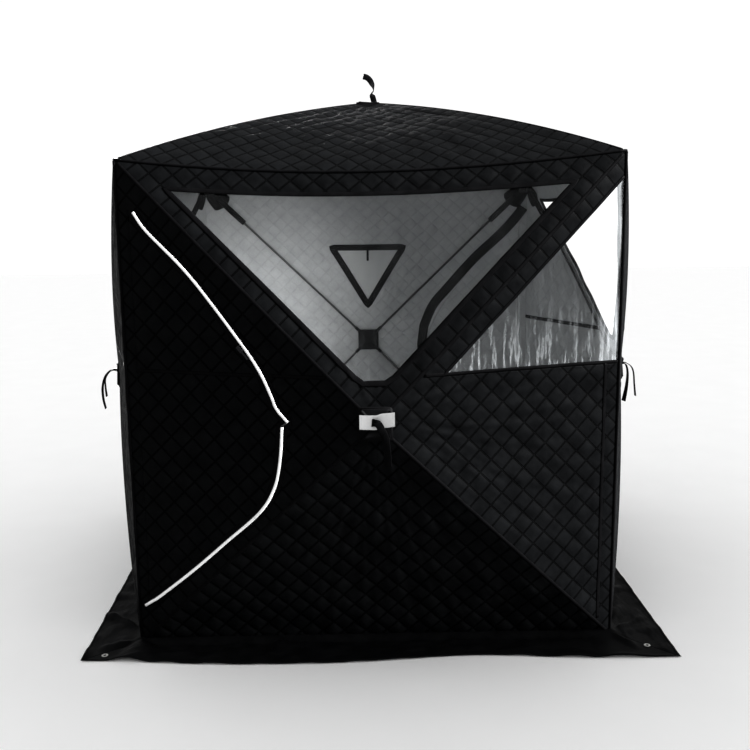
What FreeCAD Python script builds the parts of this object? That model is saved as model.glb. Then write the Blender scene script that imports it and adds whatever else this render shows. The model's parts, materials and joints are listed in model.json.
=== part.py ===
"""Hub-style ice fishing shelter: four insulated walls and a roof, each popped out by a hub.

Every wall and the roof is a square of cloth split by two pole lines into four triangular
panels. A panel is a slightly arched sheet that folds about its outer edge; the hub in the
middle slides along the wall's normal. Millimetres, +Z up, origin on the ice under the centre.
"""
import FreeCAD, Part
import math
import os
import Sketcher

doc = FreeCAD.newDocument("IceShelter")
Vector = FreeCAD.Vector

# ---------------------------------------------------------------- driving dimensions
DIMENSIONS = {
    "side": 1800,              # edge of the cube between corner boots
    "hub_out": 275,            # how far a wall hub stands out of the wall's square
    "wall_bow": 18,            # arch of a wall panel and pole over their chord
    "roof_rise": 305,          # how far the roof hub stands above the eaves
    "roof_bow": 30,            # arch of a roof panel and pole over their chord
    "cloth": 5,                # quilted wall: shell, wadding and lining
    "vinyl": 1.5,              # window sheet with its sewn backing
    "hinge_gap": 12,           # from the cube's edge to a panel's sewn edge
    "pole_clear": 62,          # from a diagonal to a panel's edge, along the outer edge
    "apex_cut": 110,           # from the hub axis to a panel's cut-off tip
    "pole_rod": 11,            # fibreglass rod diameter
    "pole_depth": 17,          # rod centre below the cloth's outer face
    "pole_start": 75,          # from the cube's edges to the rod's corner tip
    "pole_stop": 58,           # from the hub axis to the rod's hub tip, along each edge
    "hub_disc": 60,            # hub body diameter
    "hub_height": 24,          # hub body thickness
    "hub_depth": 34,           # hub body's inner face below the cloth
    "arm_reach": 42,           # hub axis to the end of a pole socket arm
    "arm_width": 16,
    "arm_height": 18,
    "socket_slot": 6,          # slot in a socket arm
    "slot_start": 24,          # hub axis to the inner end of that slot
    "slot_deep": 10.8,         # from the hub's inner face into the arm
    "patch": 105,              # square reinforcing patch over the hub
    "patch_corner": 10.5,      # cut off each of its corners, along both edges
    "patch_cloth": 4,
    "strap_width": 25,
    "strap_cloth": 2.5,
    "strap_reach": 82,         # how far a wall's pull strap stands out of its patch
    "strap_drop": 190,         # from the top of a wall's pull strap to its tail
    "strap_bend": 30,          # outer radius of a strap's fold
    "roof_strap": 115,         # height of the roof's pull strap
    "roof_leaf": 45,           # sideways reach of its folded end
    "piping": 8,               # bound seam along each edge of the cube
    "boot_inset": 8,           # from the cube's faces to a corner boot
    "boot": 46,                # corner boot edge
    "boot_wall": 7,
    "skirt": 200,              # width of the snow skirt
    "skirt_cloth": 3,
    "skirt_gap": 4.5,          # from the cube's face to the skirt's sewn edge
    "skirt_ends": 5.4,         # from a side skirt's end to the front or back skirt
    "grommet_out": 110,        # from the cube's faces to a corner grommet
    "grommet_bore": 12,
    "grommet_barrel": 16,
    "grommet_flange": 24,
    "grommet_lip": 1.5,
    "seam_height": 1055,       # horizontal seam round the walls
    "window_band": 84,         # from a diagonal to a window, inside the pole band
    "window_top": 112,         # from the eaves to the top of a window
    "window_low": 752,         # from the eaves to the low end of a window
    "side_window_edge": 32,    # from the corner edge to the side window
    "fit_gap": 0.4,            # between a window sheet and the cloth it is sewn into
    "door_edge": 45,           # from the corner edge to the door's sewn fold
    "door_top": 735,           # from mid-height to the door's upper corner
    "door_bend_up": 192,       # from mid-height to the end of the zip's upper run
    "door_bend_in": 498,       # from the corner edge to the same point
    "door_nose_in": 600,       # from the corner edge to the zip's furthest point
    "door_nose_down": 14,
    "door_foot_in": 540,       # from the corner edge to the start of the zip's lower run
    "door_low_clear": 96,      # from the lower diagonal to the zip's lower run
    "slider_long": 26,
    "slider_wide": 11,
    "slider_thick": 6,
    "slider_tab": 34,          # length of the pull tab
    "slider_off": 12,          # from the zip line to the slider's middle
    "slider_up": 68,           # from the end of the zip's upper run to a closed slider
    "tab_lap": 2,              # how far the pull tab runs into the slider's body
    "vent_top": 350,           # from the eaves to the vent's top edge
    "vent_wide": 390,
    "vent_tall": 330,
    "hood_lap": 22,            # how far the vent hood laps over its hole
    "hood_lift": 8,            # from the panel's outer face to the hood
    "hood_cloth": 3,
}

sheet = doc.addObject("Spreadsheet::Sheet", "Sizes")
for row, (alias, value) in enumerate(DIMENSIONS.items(), start=1):
    sheet.set(f"A{row}", alias)
    sheet.set(f"B{row}", str(value))
    sheet.setAlias(f"B{row}", alias)
doc.recompute()


class Size:
    """A length together with the spreadsheet formula that gives it."""

    def __init__(self, value, formula):
        self.value = float(value)
        self.formula = formula

    def _join(self, other, sign, value):
        text = other.formula if isinstance(other, Size) else repr(other)
        return Size(value, f"({self.formula} {sign} {text})")

    def __add__(self, other):
        return self._join(other, "+", self.value + float(other))

    def __sub__(self, other):
        return self._join(other, "-", self.value - float(other))

    def __mul__(self, other):
        return self._join(other, "*", self.value * float(other))

    def __truediv__(self, other):
        return self._join(other, "/", self.value / float(other))

    def __neg__(self):
        return Size(-self.value, f"(0 - {self.formula})")

    def __float__(self):
        return self.value


def size(alias):
    return Size(sheet.get(alias), f"Sizes.{alias}")


ZERO = Size(0, "0")
HALF = size("side") / 2
THROUGH = size("side")         # longer than any cut needs
FACES_IN = {"front": 0, "right": 90, "back": 180, "left": 270}    # turn about Z
DOOR_SCALE = 0.99              # a door leaf against its doorway, so that it swings clear
DIAGONAL = math.sqrt(0.5)      # sine and cosine of 45 degrees, half way round a bend


# ---------------------------------------------------------------- document helpers
def bind(thing, **sizes):
    """Ties properties of a document object to the spreadsheet."""
    for prop, length in sizes.items():
        thing.setExpression(prop, length.formula)


def plane_of(body, role):
    return next(f for f in body.Origin.OriginFeatures if f.Role == role)


def new_body(label):
    body = doc.addObject("PartDesign::Body", "Body")
    body.Label = label
    return body


def new_sketch(body, role):
    sketch = body.newObject("Sketcher::SketchObject", "Sketch")
    sketch.AttachmentSupport = [(plane_of(body, role), "")]
    sketch.MapMode = "FlatFace"
    return sketch


def pin_point(sketch, edge, end, point):
    """Holds one end of an edge at its bound distances from the sketch's origin."""
    for kind, length in zip(("DistanceX", "DistanceY"), point):
        value = float(length)
        index = sketch.addConstraint(Sketcher.Constraint(kind, -1, 1, edge, end, value))
        sketch.setExpression(f"Constraints[{index}]", length.formula)


def outline(sketch, points, arcs=None):
    """Closed outline through bound corner points; arcs maps an edge number to its mid point.

    A sketch keeps its arcs anticlockwise, so an arc that turns right is drawn from its end.
    """
    arcs = arcs or {}
    count = len(points)
    edges = []
    for number, point in enumerate(points):
        a = Vector(float(point[0]), float(point[1]), 0)
        following = points[(number + 1) % count]
        b = Vector(float(following[0]), float(following[1]), 0)
        if number in arcs:
            middle = Vector(float(arcs[number][0]), float(arcs[number][1]), 0)
            turns_left = (middle - a).cross(b - middle).z > 0
            arc = Part.Arc(a, middle, b) if turns_left else Part.Arc(b, middle, a)
            edge = sketch.addGeometry(arc, False)
            ends = (1, 2) if turns_left else (2, 1)
            edges.append((edge, ends, sketch.Geometry[edge].Radius))
        else:
            edges.append((sketch.addGeometry(Part.LineSegment(a, b), False), (1, 2), None))
    for number, (edge, ends, radius) in enumerate(edges):
        following, next_ends, _ = edges[(number + 1) % count]
        sketch.addConstraint(
            Sketcher.Constraint("Coincident", edge, ends[1], following, next_ends[0]))
        pin_point(sketch, edge, ends[0], points[number])
        if radius:
            sketch.addConstraint(Sketcher.Constraint("Radius", edge, radius))
    return sketch


def circle(sketch, diameter, centre=None):
    """Bound circle about a bound point, or about the sketch's origin."""
    where = Vector(float(centre[0]), float(centre[1]), 0) if centre else Vector()
    ring = Part.Circle(where, Vector(0, 0, 1), float(diameter) / 2)
    edge = sketch.addGeometry(ring, False)
    if centre:
        pin_point(sketch, edge, 3, centre)
    else:
        sketch.addConstraint(Sketcher.Constraint("Coincident", edge, 3, -1, 1))
    index = sketch.addConstraint(Sketcher.Constraint("Diameter", edge, float(diameter)))
    sketch.setExpression(f"Constraints[{index}]", diameter.formula)


def pad(body, sketch, length, symmetric=False):
    feature = body.newObject("PartDesign::Pad", "Pad")
    feature.Profile = sketch
    feature.Midplane = symmetric
    bind(feature, Length=length)
    return feature


def pocket_both_ways(body, sketch):
    feature = body.newObject("PartDesign::Pocket", "Pocket")
    feature.Profile = sketch
    feature.Midplane = True
    bind(feature, Length=THROUGH)
    return feature


def frame(origin, across, along):
    """Placement whose X runs across, whose Y runs along, and whose Z follows from both."""
    out = across.cross(along)
    turn = FreeCAD.Rotation(across, along, out, "ZXY")
    return FreeCAD.Placement(origin, turn)


def group(label, pieces):
    """One node that holds several like pieces as separate solids."""
    compound = doc.addObject("Part::Compound", "Group")
    compound.Label = label
    compound.Links = pieces
    return compound


def cylinder(diameter, height, placement):
    rod = doc.addObject("Part::Cylinder", "Rod")
    bind(rod, Radius=diameter / 2, Height=height)
    rod.Placement = placement
    return rod


def box(lengths, placement):
    block = doc.addObject("Part::Box", "Block")
    bind(block, Length=lengths[0], Width=lengths[1], Height=lengths[2])
    block.Placement = placement
    return block


def boolean(kind, base, tool, placement=None):
    result = doc.addObject(kind, "Result")
    result.Base = base
    result.Tool = tool
    if placement:
        result.Placement = placement
    return result


# ---------------------------------------------------------------- where the cloth stands
class Face:
    """One wall or the roof: its middle, its directions, and how far its hub stands out."""

    def __init__(self, name):
        self.name = name
        half = float(HALF)
        if name == "roof":
            self.centre = Vector(0, 0, 2 * half)
            self.right, self.up = Vector(1, 0, 0), Vector(0, 1, 0)
            self.rise, self.bow = size("roof_rise"), size("roof_bow")
            self.sides = ("back", "front", "left", "right")
        else:
            turn = FreeCAD.Rotation(Vector(0, 0, 1), FACES_IN[name])
            self.centre = turn.multVec(Vector(0, -half, 0)) + Vector(0, 0, half)
            self.right, self.up = turn.multVec(Vector(1, 0, 0)), Vector(0, 0, 1)
            self.rise, self.bow = size("hub_out"), size("wall_bow")
            self.sides = ("top", "bottom", "left", "right")
        self.out = self.right.cross(self.up)

    def inward(self, side):
        """From a panel's outer edge towards the hub."""
        top, bottom, left, _ = self.sides
        if side == top:
            return -self.up
        if side == bottom:
            return self.up
        return self.right if side == left else -self.right

    def panel_frame(self, side):
        inward = self.inward(side)
        across = inward.cross(self.out)
        return frame(self.centre - inward * float(HALF), across, inward)

    def hub_frame(self):
        """X to the right and Z up the wall, at the outer face over the hub."""
        turn = FreeCAD.Rotation(self.right, -self.out, self.up, "ZXY")
        return FreeCAD.Placement(self.centre + self.out * float(self.rise), turn)

    def arch_radius(self):
        return (HALF * HALF + self.rise * self.rise) / (self.bow * 8) + self.bow / 2

    def arch(self):
        """Centre of the cloth's arch, in from the edge and out of the wall, and its radius."""
        half, rise, radius = float(HALF), float(self.rise), float(self.arch_radius())
        chord = math.hypot(half, rise)
        sink = math.sqrt(radius ** 2 - (chord / 2) ** 2)
        return half / 2 + sink * rise / chord, rise / 2 - sink * half / chord, radius

    def height(self, inward):
        """How far the cloth's outer face stands out, at a distance in from the edge."""
        centre_in, centre_out, radius = self.arch()
        return centre_out + math.sqrt(radius ** 2 - (inward - centre_in) ** 2)

    def square_out(self, inward):
        """Direction square to the cloth there, in its panel's own frame."""
        centre_in, centre_out, _ = self.arch()
        return Vector(0, inward - centre_in, self.height(inward) - centre_out).normalize()


FACES = [Face(name) for name in (*FACES_IN, "roof")]


# ---------------------------------------------------------------- panels
def arch_strip(body, face, depth, thickness):
    """Arched sheet as long as the wall: outer face depth below the cloth's outer face."""
    sketch = new_sketch(body, "YZ_Plane")
    radius = face.arch_radius()
    half, rise = float(HALF), float(face.rise)
    low = depth + thickness
    arcs = []
    for drop in (depth, low):
        start = Vector(0, -float(drop), 0)
        end = Vector(half, rise - float(drop), 0)
        middle = Vector(half / 2, face.height(half / 2) - float(drop), 0)
        arc = sketch.addGeometry(Part.Arc(end, middle, start), False)
        arcs.append(arc)
        pin_point(sketch, arc, 1, (HALF, face.rise - drop))
        pin_point(sketch, arc, 2, (ZERO, -drop))
        index = sketch.addConstraint(Sketcher.Constraint("Radius", arc, float(radius)))
        sketch.setExpression(f"Constraints[{index}]", radius.formula)
    for end in (1, 2):
        points = [sketch.getPoint(arc, end) for arc in arcs]
        line = sketch.addGeometry(Part.LineSegment(*points), False)
        sketch.addConstraint(Sketcher.Constraint("Coincident", line, 1, arcs[0], end))
        sketch.addConstraint(Sketcher.Constraint("Coincident", line, 2, arcs[1], end))
    return pad(body, sketch, size("side"), symmetric=True)


def sheet_piece(label, face, side, rings, depth=ZERO, thickness=None):
    """Cuts an arched sheet to nested outlines: the first is its edge, the second a hole."""
    body = new_body(label)
    arch_strip(body, face, depth, thickness or size("cloth"))
    sketch = new_sketch(body, "XY_Plane")
    wide = size("side")
    outline(sketch, [(-wide, -wide), (wide, -wide), (wide, wide), (-wide, wide)])
    for points, arcs in rings:
        outline(sketch, points, arcs)
    pocket_both_ways(body, sketch)
    body.Placement = face.panel_frame(side)
    return body


def panel_edge():
    """Triangle from the sewn edge to the cut-off tip, clear of both pole lines."""
    edge, tip, clear = size("hinge_gap"), size("apex_cut"), size("pole_clear")
    low, high = HALF - clear - edge, tip - clear
    far = HALF - tip
    return [(-low, edge), (low, edge), (high, far), (-high, far)], None


def top_window(shrink):
    """Wide window under the eaves, its slanted edges along the pole bands."""
    top, low = size("window_top") + shrink, size("window_low") - shrink
    band = size("window_band") + shrink * 2
    points = [(-(HALF - band - top), top), (HALF - band - top, top),
              (HALF - band - low, low), (-(HALF - band - low), low)]
    return points, None


def side_window(shrink):
    """Upper half of the right-hand panel: corner edge, pole band and horizontal seam."""
    edge = size("side_window_edge") + shrink
    seam = size("seam_height") - HALF + shrink
    reach = HALF - size("window_band") - shrink * 2
    return [(seam, edge), (reach - edge, edge), (seam, reach - seam)], None


def door(scale):
    """Doorway: sewn fold at the corner, zip up, round the nose and back down."""
    centre = HALF / 3

    def place(along, inward):
        return along * scale, centre + (inward - centre) * scale

    foot = HALF - size("door_low_clear")
    edge, foot_in = size("door_edge"), size("door_foot_in")
    points = [place(-size("door_top"), edge),
              place(foot - edge, edge),
              place(foot - foot_in, foot_in),
              place(-size("door_bend_up"), size("door_bend_in"))]
    nose = place(size("door_nose_down"), size("door_nose_in"))
    return points, {2: nose}


def vent(grow):
    """Triangular vent, point down, with an optional lap all round."""
    wide = size("vent_wide") / 2 + grow * 2
    top = size("vent_top") - grow
    return [(-wide, top), (wide, top), (ZERO, top + size("vent_tall") + grow * 3)], None


HOLES = {("front", "top"): top_window(ZERO), ("right", "top"): top_window(ZERO),
         ("front", "right"): side_window(ZERO),
         ("front", "left"): door(1), ("back", "left"): door(1),
         ("back", "top"): vent(ZERO)}

pieces = []
for face in FACES:
    for side in face.sides:
        rings = [panel_edge()]
        if (face.name, side) in HOLES:
            rings.append(HOLES[face.name, side])
        pieces.append(sheet_piece(f"{face.name}_panel_{side}", face, side, rings))

by_name = {face.name: face for face in FACES}
for label, wall, side, shape in (("front_top_window", "front", "top", top_window),
                                 ("front_side_window", "front", "right", side_window),
                                 ("right_top_window", "right", "top", top_window)):
    rings = [shape(size("fit_gap"))]
    depth = (size("cloth") - size("vinyl")) / 2
    pieces.append(sheet_piece(label, by_name[wall], side, rings, depth, size("vinyl")))

for wall in ("front", "back"):
    rings = [door(DOOR_SCALE)]
    pieces.append(sheet_piece(f"{wall}_door", by_name[wall], "left", rings))

hood_depth = -(size("hood_lift") + size("hood_cloth"))
pieces.append(sheet_piece("vent_hood", by_name["back"], "top", [vent(size("hood_lap"))],
                          hood_depth, size("hood_cloth")))


# ---------------------------------------------------------------- zip sliders
def zip_slider(wall):
    """Slider body with its pull tab, beside the upper run of a door's zip."""
    face = by_name[wall]
    upper = Vector(-float(size("door_top")), float(size("door_edge")), 0)
    bend = Vector(-float(size("door_bend_up")), float(size("door_bend_in")), 0)
    run = (upper - bend).normalize()
    off = Vector(run.y, -run.x, 0) * float(size("slider_off"))
    spot = bend + run * float(size("slider_up")) - off
    out = face.square_out(spot.y)
    along = out.cross(run.cross(Vector(0, 0, 1))).normalize()
    across = out.cross(along)
    lift = float(size("slider_thick")) / 2
    seat = Vector(spot.x, spot.y, face.height(spot.y)) + out * lift
    turn = FreeCAD.Rotation(along, across, out, "ZXY")
    base = face.panel_frame("left") * FreeCAD.Placement(seat, turn)
    long, wide, thick = size("slider_long"), size("slider_wide"), size("slider_thick")
    centred = FreeCAD.Placement(Vector(0, -float(wide) / 2, -float(thick) / 4),
                                FreeCAD.Rotation())
    block = box((long, wide, thick), base * centred)
    tab_in = float(size("tab_lap") - size("slider_tab"))
    tab_at = Vector(tab_in, -float(wide) / 4, float(thick) / 4)
    tab = box((size("slider_tab"), wide / 2, thick / 3),
              base * FreeCAD.Placement(tab_at, FreeCAD.Rotation()))
    slider = boolean("Part::Fuse", block, tab)
    slider.Label = f"{wall}_zip_slider"
    return slider


pieces += [zip_slider(wall) for wall in ("front", "back")]


# ---------------------------------------------------------------- poles
def pole(face, side, turn):
    """One bowed rod from its corner tip to its hub tip, under the diagonal seam."""
    half, rise, bow = float(HALF), float(face.rise), float(face.bow)
    reach = half * math.sqrt(2)
    chord = math.hypot(reach, rise)
    radius = chord ** 2 / (8 * bow) + bow / 2
    inward = face.inward(side)
    along = inward.cross(face.out) * turn
    corner = face.centre - inward * half - along * half
    diagonal = (inward + along).normalize()
    depth = float(size("pole_depth"))
    foot = corner - face.out * depth
    chord_way = (diagonal * reach + face.out * rise).normalize()
    lift = (face.out * reach - diagonal * rise).normalize()
    centre = foot + chord_way * (chord / 2) - lift * (radius - bow)
    opening = 2 * math.asin(chord / 2 / radius)
    start = float(size("pole_start")) * math.sqrt(2) / reach
    stop = float(size("pole_stop")) * math.sqrt(2) / reach
    first = math.pi / 2 + opening * (0.5 - start)
    last = math.pi / 2 - opening * (0.5 - stop)
    rod = doc.addObject("Part::Torus", "Pole")
    chord_squared = HALF * HALF * 2 + face.rise * face.rise
    bind(rod, Radius1=chord_squared / (face.bow * 8) + face.bow / 2,
         Radius2=size("pole_rod") / 2)
    rod.Angle3 = math.degrees(first - last)
    across = chord_way * math.cos(last) + lift * math.sin(last)
    up = -chord_way * math.sin(last) + lift * math.cos(last)
    rod.Placement = frame(centre, across, up)
    return rod


for face in FACES:
    for side in face.sides[2:]:
        rods = [pole(face, side, turn) for turn in (1, -1)]
        pieces.append(group(f"{face.name}_poles_{side}", rods))


# ---------------------------------------------------------------- hubs, patches and straps
def hub_core(face):
    """Moulded disc with four slotted socket arms and a stud up to the patch."""
    body = new_body(f"{face.name}_hub")
    disc = new_sketch(body, "XY_Plane")
    circle(disc, size("hub_disc"))
    pad(body, disc, size("hub_height"))
    arm = new_sketch(body, "XY_Plane")
    wide, reach = size("arm_width") / 2, size("arm_reach")
    outline(arm, [(ZERO, -wide), (reach, -wide), (reach, wide), (ZERO, wide)])
    arm_pad = pad(body, arm, size("arm_height"))
    slot = new_sketch(body, "XY_Plane")
    gap, inner = size("socket_slot") / 2, size("slot_start")
    beyond = reach + size("socket_slot")
    outline(slot, [(inner, -gap), (beyond, -gap), (beyond, gap), (inner, gap)])
    slot_cut = body.newObject("PartDesign::Pocket", "Slot")
    slot_cut.Profile = slot
    slot_cut.Midplane = True
    bind(slot_cut, Length=size("slot_deep") * 2)
    arms = body.newObject("PartDesign::PolarPattern", "Arms")
    arms.Originals = [arm_pad, slot_cut]
    arms.Axis = (plane_of(body, "Z_Axis"), [""])
    arms.Angle = 360
    arms.Occurrences = 4
    body.Tip = arms
    stud = new_sketch(body, "XY_Plane")
    circle(stud, size("arm_width"))
    pad(body, stud, size("hub_depth") - size("patch_cloth"))
    foot = face.centre + face.out * (float(face.rise) - float(size("hub_depth")))
    diagonal = (face.right + face.up).normalize()
    body.Placement = frame(foot, diagonal, face.out.cross(diagonal))
    return body


def hub_patch(face):
    """Square reinforcing patch with cut corners, sewn over the hub."""
    body = new_body(f"{face.name}_hub_patch")
    edge = size("patch") / 2
    cut = edge - size("patch_corner")
    sketch = new_sketch(body, "XY_Plane")
    outline(sketch, [(-cut, -edge), (cut, -edge), (edge, -cut), (edge, cut),
                     (cut, edge), (-cut, edge), (-edge, cut), (-edge, -cut)])
    pad(body, sketch, size("patch_cloth"))
    foot = face.centre + face.out * (float(face.rise) - float(size("patch_cloth")))
    body.Placement = frame(foot, face.right, face.up)
    return body


def band(body, path, bends):
    """Pads a strap's side view; the outline runs out along one face and back along the other."""
    sketch = new_sketch(body, "YZ_Plane")
    outline(sketch, path, bends)
    pad(body, sketch, size("strap_width"), symmetric=True)


def wall_strap(face):
    """Webbing pull strap that stands out of the patch, folds over and hangs down."""
    body = new_body(f"{face.name}_pull_strap")
    cloth, bend, reach = size("strap_cloth"), size("strap_bend"), size("strap_reach")
    drop = size("strap_drop")
    top = bend / 3
    turn_out, turn_down = reach - bend, top - bend
    inner = bend - cloth
    path = [(ZERO, top), (-turn_out, top), (-reach, turn_down), (-reach, top - drop),
            (-(reach - cloth), top - drop), (-(reach - cloth), turn_down),
            (-turn_out, top - cloth), (ZERO, top - cloth)]
    bends = {1: (-(turn_out + bend * DIAGONAL), turn_down + bend * DIAGONAL),
             5: (-(turn_out + inner * DIAGONAL), turn_down + inner * DIAGONAL)}
    band(body, path, bends)
    body.Placement = face.hub_frame()
    return body


def roof_strap(face):
    """Short webbing loop that stands on the roof hub with its end folded over."""
    body = new_body(f"{face.name}_pull_strap")
    cloth, bend = size("strap_cloth"), size("strap_bend")
    tall, leaf = size("roof_strap"), size("roof_leaf")
    inner = bend - cloth
    path = [(ZERO, ZERO), (ZERO, tall - bend), (bend, tall), (leaf, tall),
            (leaf, tall - cloth), (bend, tall - cloth), (cloth, tall - bend), (cloth, ZERO)]
    bends = {1: (bend - bend * DIAGONAL, tall - bend + bend * DIAGONAL),
             5: (bend - inner * DIAGONAL, tall - bend + inner * DIAGONAL)}
    band(body, path, bends)
    foot = face.centre + face.out * float(face.rise)
    body.Placement = FreeCAD.Placement(foot, FreeCAD.Rotation(Vector(0, 0, 1), 90))
    return body


for face in FACES:
    pieces.append(hub_core(face))
    pieces.append(hub_patch(face))
    pieces.append(roof_strap(face) if face.name == "roof" else wall_strap(face))


# ---------------------------------------------------------------- fixed parts of the cube
def seam_piping():
    """Bound seams along the cube's twelve edges, which the panels fold about."""
    half, rod = float(HALF), size("piping")
    clear = rod * 1.5              # the three seams that meet at a corner stop this short of it
    length = size("side") - clear * 2
    low, lift = float(clear), float(rod) / 2
    rods = []
    for level in (lift, 2 * half):
        for turn in FACES_IN.values():
            spin = FreeCAD.Rotation(Vector(0, 0, 1), turn)
            lie = FreeCAD.Rotation(Vector(0, 1, 0), 90)
            start = spin.multVec(Vector(low - half, -half, 0)) + Vector(0, 0, level)
            rods.append(cylinder(rod, length, FreeCAD.Placement(start, spin * lie)))
    for x in (-half, half):
        for y in (-half, half):
            start = Vector(x, y, low)
            rods.append(cylinder(rod, length, FreeCAD.Placement(start, FreeCAD.Rotation())))
    return group("seam_piping", rods)


def corner_boots():
    """Moulded three-sided boot inside each corner, where the pole sleeves are anchored."""
    half, boot = float(HALF), size("boot")
    boots = []
    for upper in (False, True):
        for turn in FACES_IN.values():
            shell = box((boot, boot, boot), FreeCAD.Placement())
            hollow = box((boot, boot, boot), FreeCAD.Placement())
            wall = float(size("boot_wall"))
            hollow.Placement.Base = Vector(wall, wall, wall)
            spin = FreeCAD.Rotation(Vector(0, 0, 1), turn)
            inset = float(size("boot_inset"))
            if upper:
                flip = FreeCAD.Rotation(Vector(1, 0, 0), -90)
                start = Vector(inset - half, inset - half, 2 * half - inset)
                place = FreeCAD.Placement(spin.multVec(start), spin * flip)
            else:
                start = Vector(inset - half, inset - half, 0)
                place = FreeCAD.Placement(spin.multVec(start), spin)
            boots.append(boolean("Part::Cut", shell, hollow, place))
    return group("corner_boots", boots)


def skirt(name, covers_corners):
    """Flat strip of cloth outside one wall; two of the four cover the corners."""
    body = new_body(f"{name}_skirt")
    inner = HALF + size("skirt_gap")
    outer = HALF + size("skirt")
    reach = outer if covers_corners else inner - size("skirt_ends")
    sketch = new_sketch(body, "XY_Plane")
    outline(sketch, [(-reach, -outer), (reach, -outer), (reach, -inner), (-reach, -inner)])
    if covers_corners:
        spot = HALF + size("grommet_out")
        for x in (-spot, spot):
            circle(sketch, size("grommet_barrel") + size("fit_gap"), (x, -spot))
    pad(body, sketch, size("skirt_cloth"))
    body.Placement.Rotation = FreeCAD.Rotation(Vector(0, 0, 1), FACES_IN[name])
    return body


def grommets():
    """Metal eyelet at each corner of the skirt."""
    spot = float(HALF + size("grommet_out"))
    rings = []
    for x in (-spot, spot):
        for y in (-spot, spot):
            cloth = float(size("skirt_cloth"))
            still = FreeCAD.Rotation()
            barrel = cylinder(size("grommet_barrel"), size("skirt_cloth"),
                              FreeCAD.Placement(Vector(x, y, 0), still))
            flange = cylinder(size("grommet_flange"), size("grommet_lip"),
                              FreeCAD.Placement(Vector(x, y, cloth), still))
            bore = cylinder(size("grommet_bore"), size("skirt_cloth") * 3,
                            FreeCAD.Placement(Vector(x, y, -cloth), still))
            eyelet = boolean("Part::Fuse", barrel, flange)
            rings.append(boolean("Part::Cut", eyelet, bore))
    return group("skirt_grommets", rings)


pieces.append(seam_piping())
pieces.append(corner_boots())
pieces += [skirt(name, name in ("front", "back")) for name in FACES_IN]
pieces.append(grommets())


# ---------------------------------------------------------------- check and write
doc.recompute()
for thing in doc.Objects:
    broken = [state for state in thing.State if state in ("Invalid", "Error")]
    if broken:
        raise RuntimeError(f"{thing.Label}: {broken}")
os.makedirs("parts", exist_ok=True)
for piece in pieces:
    shape = piece.Shape
    if shape.isNull() or not shape.isValid() or not shape.Solids:
        raise RuntimeError(f"{piece.Label}: bad shape")
    shape.exportStep(os.path.join("parts", f"{piece.Label}.step"))
    print(f"{piece.Label}: {len(shape.Solids)} solids, {shape.Volume / 1000:.1f} cm3")
print(f"{len(pieces)} nodes")
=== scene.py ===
"""Looks of the hub-style ice fishing shelter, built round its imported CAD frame. Metres, +Z up."""

import json
import math

import bmesh
import bpy
import numpy as np
from mathutils import Matrix, Vector

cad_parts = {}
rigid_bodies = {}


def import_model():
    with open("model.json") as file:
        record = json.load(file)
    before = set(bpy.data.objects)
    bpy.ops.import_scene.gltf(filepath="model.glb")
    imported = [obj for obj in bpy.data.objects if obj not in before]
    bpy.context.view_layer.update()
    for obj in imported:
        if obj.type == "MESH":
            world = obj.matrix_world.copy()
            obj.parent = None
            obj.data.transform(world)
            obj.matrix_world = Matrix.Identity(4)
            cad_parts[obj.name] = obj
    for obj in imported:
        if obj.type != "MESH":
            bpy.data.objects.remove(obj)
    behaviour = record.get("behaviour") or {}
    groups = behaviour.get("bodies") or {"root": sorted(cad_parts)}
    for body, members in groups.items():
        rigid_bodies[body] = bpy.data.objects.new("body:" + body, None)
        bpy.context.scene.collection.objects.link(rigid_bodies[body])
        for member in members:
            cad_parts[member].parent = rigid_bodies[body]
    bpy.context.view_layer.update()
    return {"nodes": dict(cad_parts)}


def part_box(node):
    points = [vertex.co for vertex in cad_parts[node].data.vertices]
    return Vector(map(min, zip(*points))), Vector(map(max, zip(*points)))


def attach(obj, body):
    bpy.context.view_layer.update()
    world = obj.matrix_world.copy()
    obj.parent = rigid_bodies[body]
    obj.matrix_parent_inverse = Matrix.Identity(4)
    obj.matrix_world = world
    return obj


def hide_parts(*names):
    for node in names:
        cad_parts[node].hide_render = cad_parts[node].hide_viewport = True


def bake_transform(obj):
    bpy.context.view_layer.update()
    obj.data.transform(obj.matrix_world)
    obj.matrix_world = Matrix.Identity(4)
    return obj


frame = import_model()

# ---- sizes read from the frame
PIPING = 0.008
HALF = (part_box("seam_piping")[1].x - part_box("seam_piping")[0].x - PIPING) / 2
WALL_RISE = -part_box("front_hub_patch")[0].y - HALF
ROOF_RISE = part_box("roof_hub_patch")[1].z - 2 * HALF
SKIRT_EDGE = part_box("front_skirt")[1].x

# ---- sizes of the cloth work
WALL_BOW, ROOF_BOW = 0.018, 0.030  # arch of a panel and its poles over the chord
WALL_SINK, ROOF_SINK = 0.014, 0.020  # how far a panel's middle falls in between the poles
CORNER_LIFT = 0.015  # how far the front right corner is lifted
EAVE_SAG = 0.052  # how far the unsupported eave seam hangs in its middle
CLOTH = 0.005  # shell to lining along a stitched line
PUFF = 0.0034  # how far each quilted diamond swells, on either side
PUFF_POWER = 0.34  # the lower, the flatter a diamond's top
FULLNESS = (0.75, 1.1)  # least and most that one diamond swells beside the others
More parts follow.
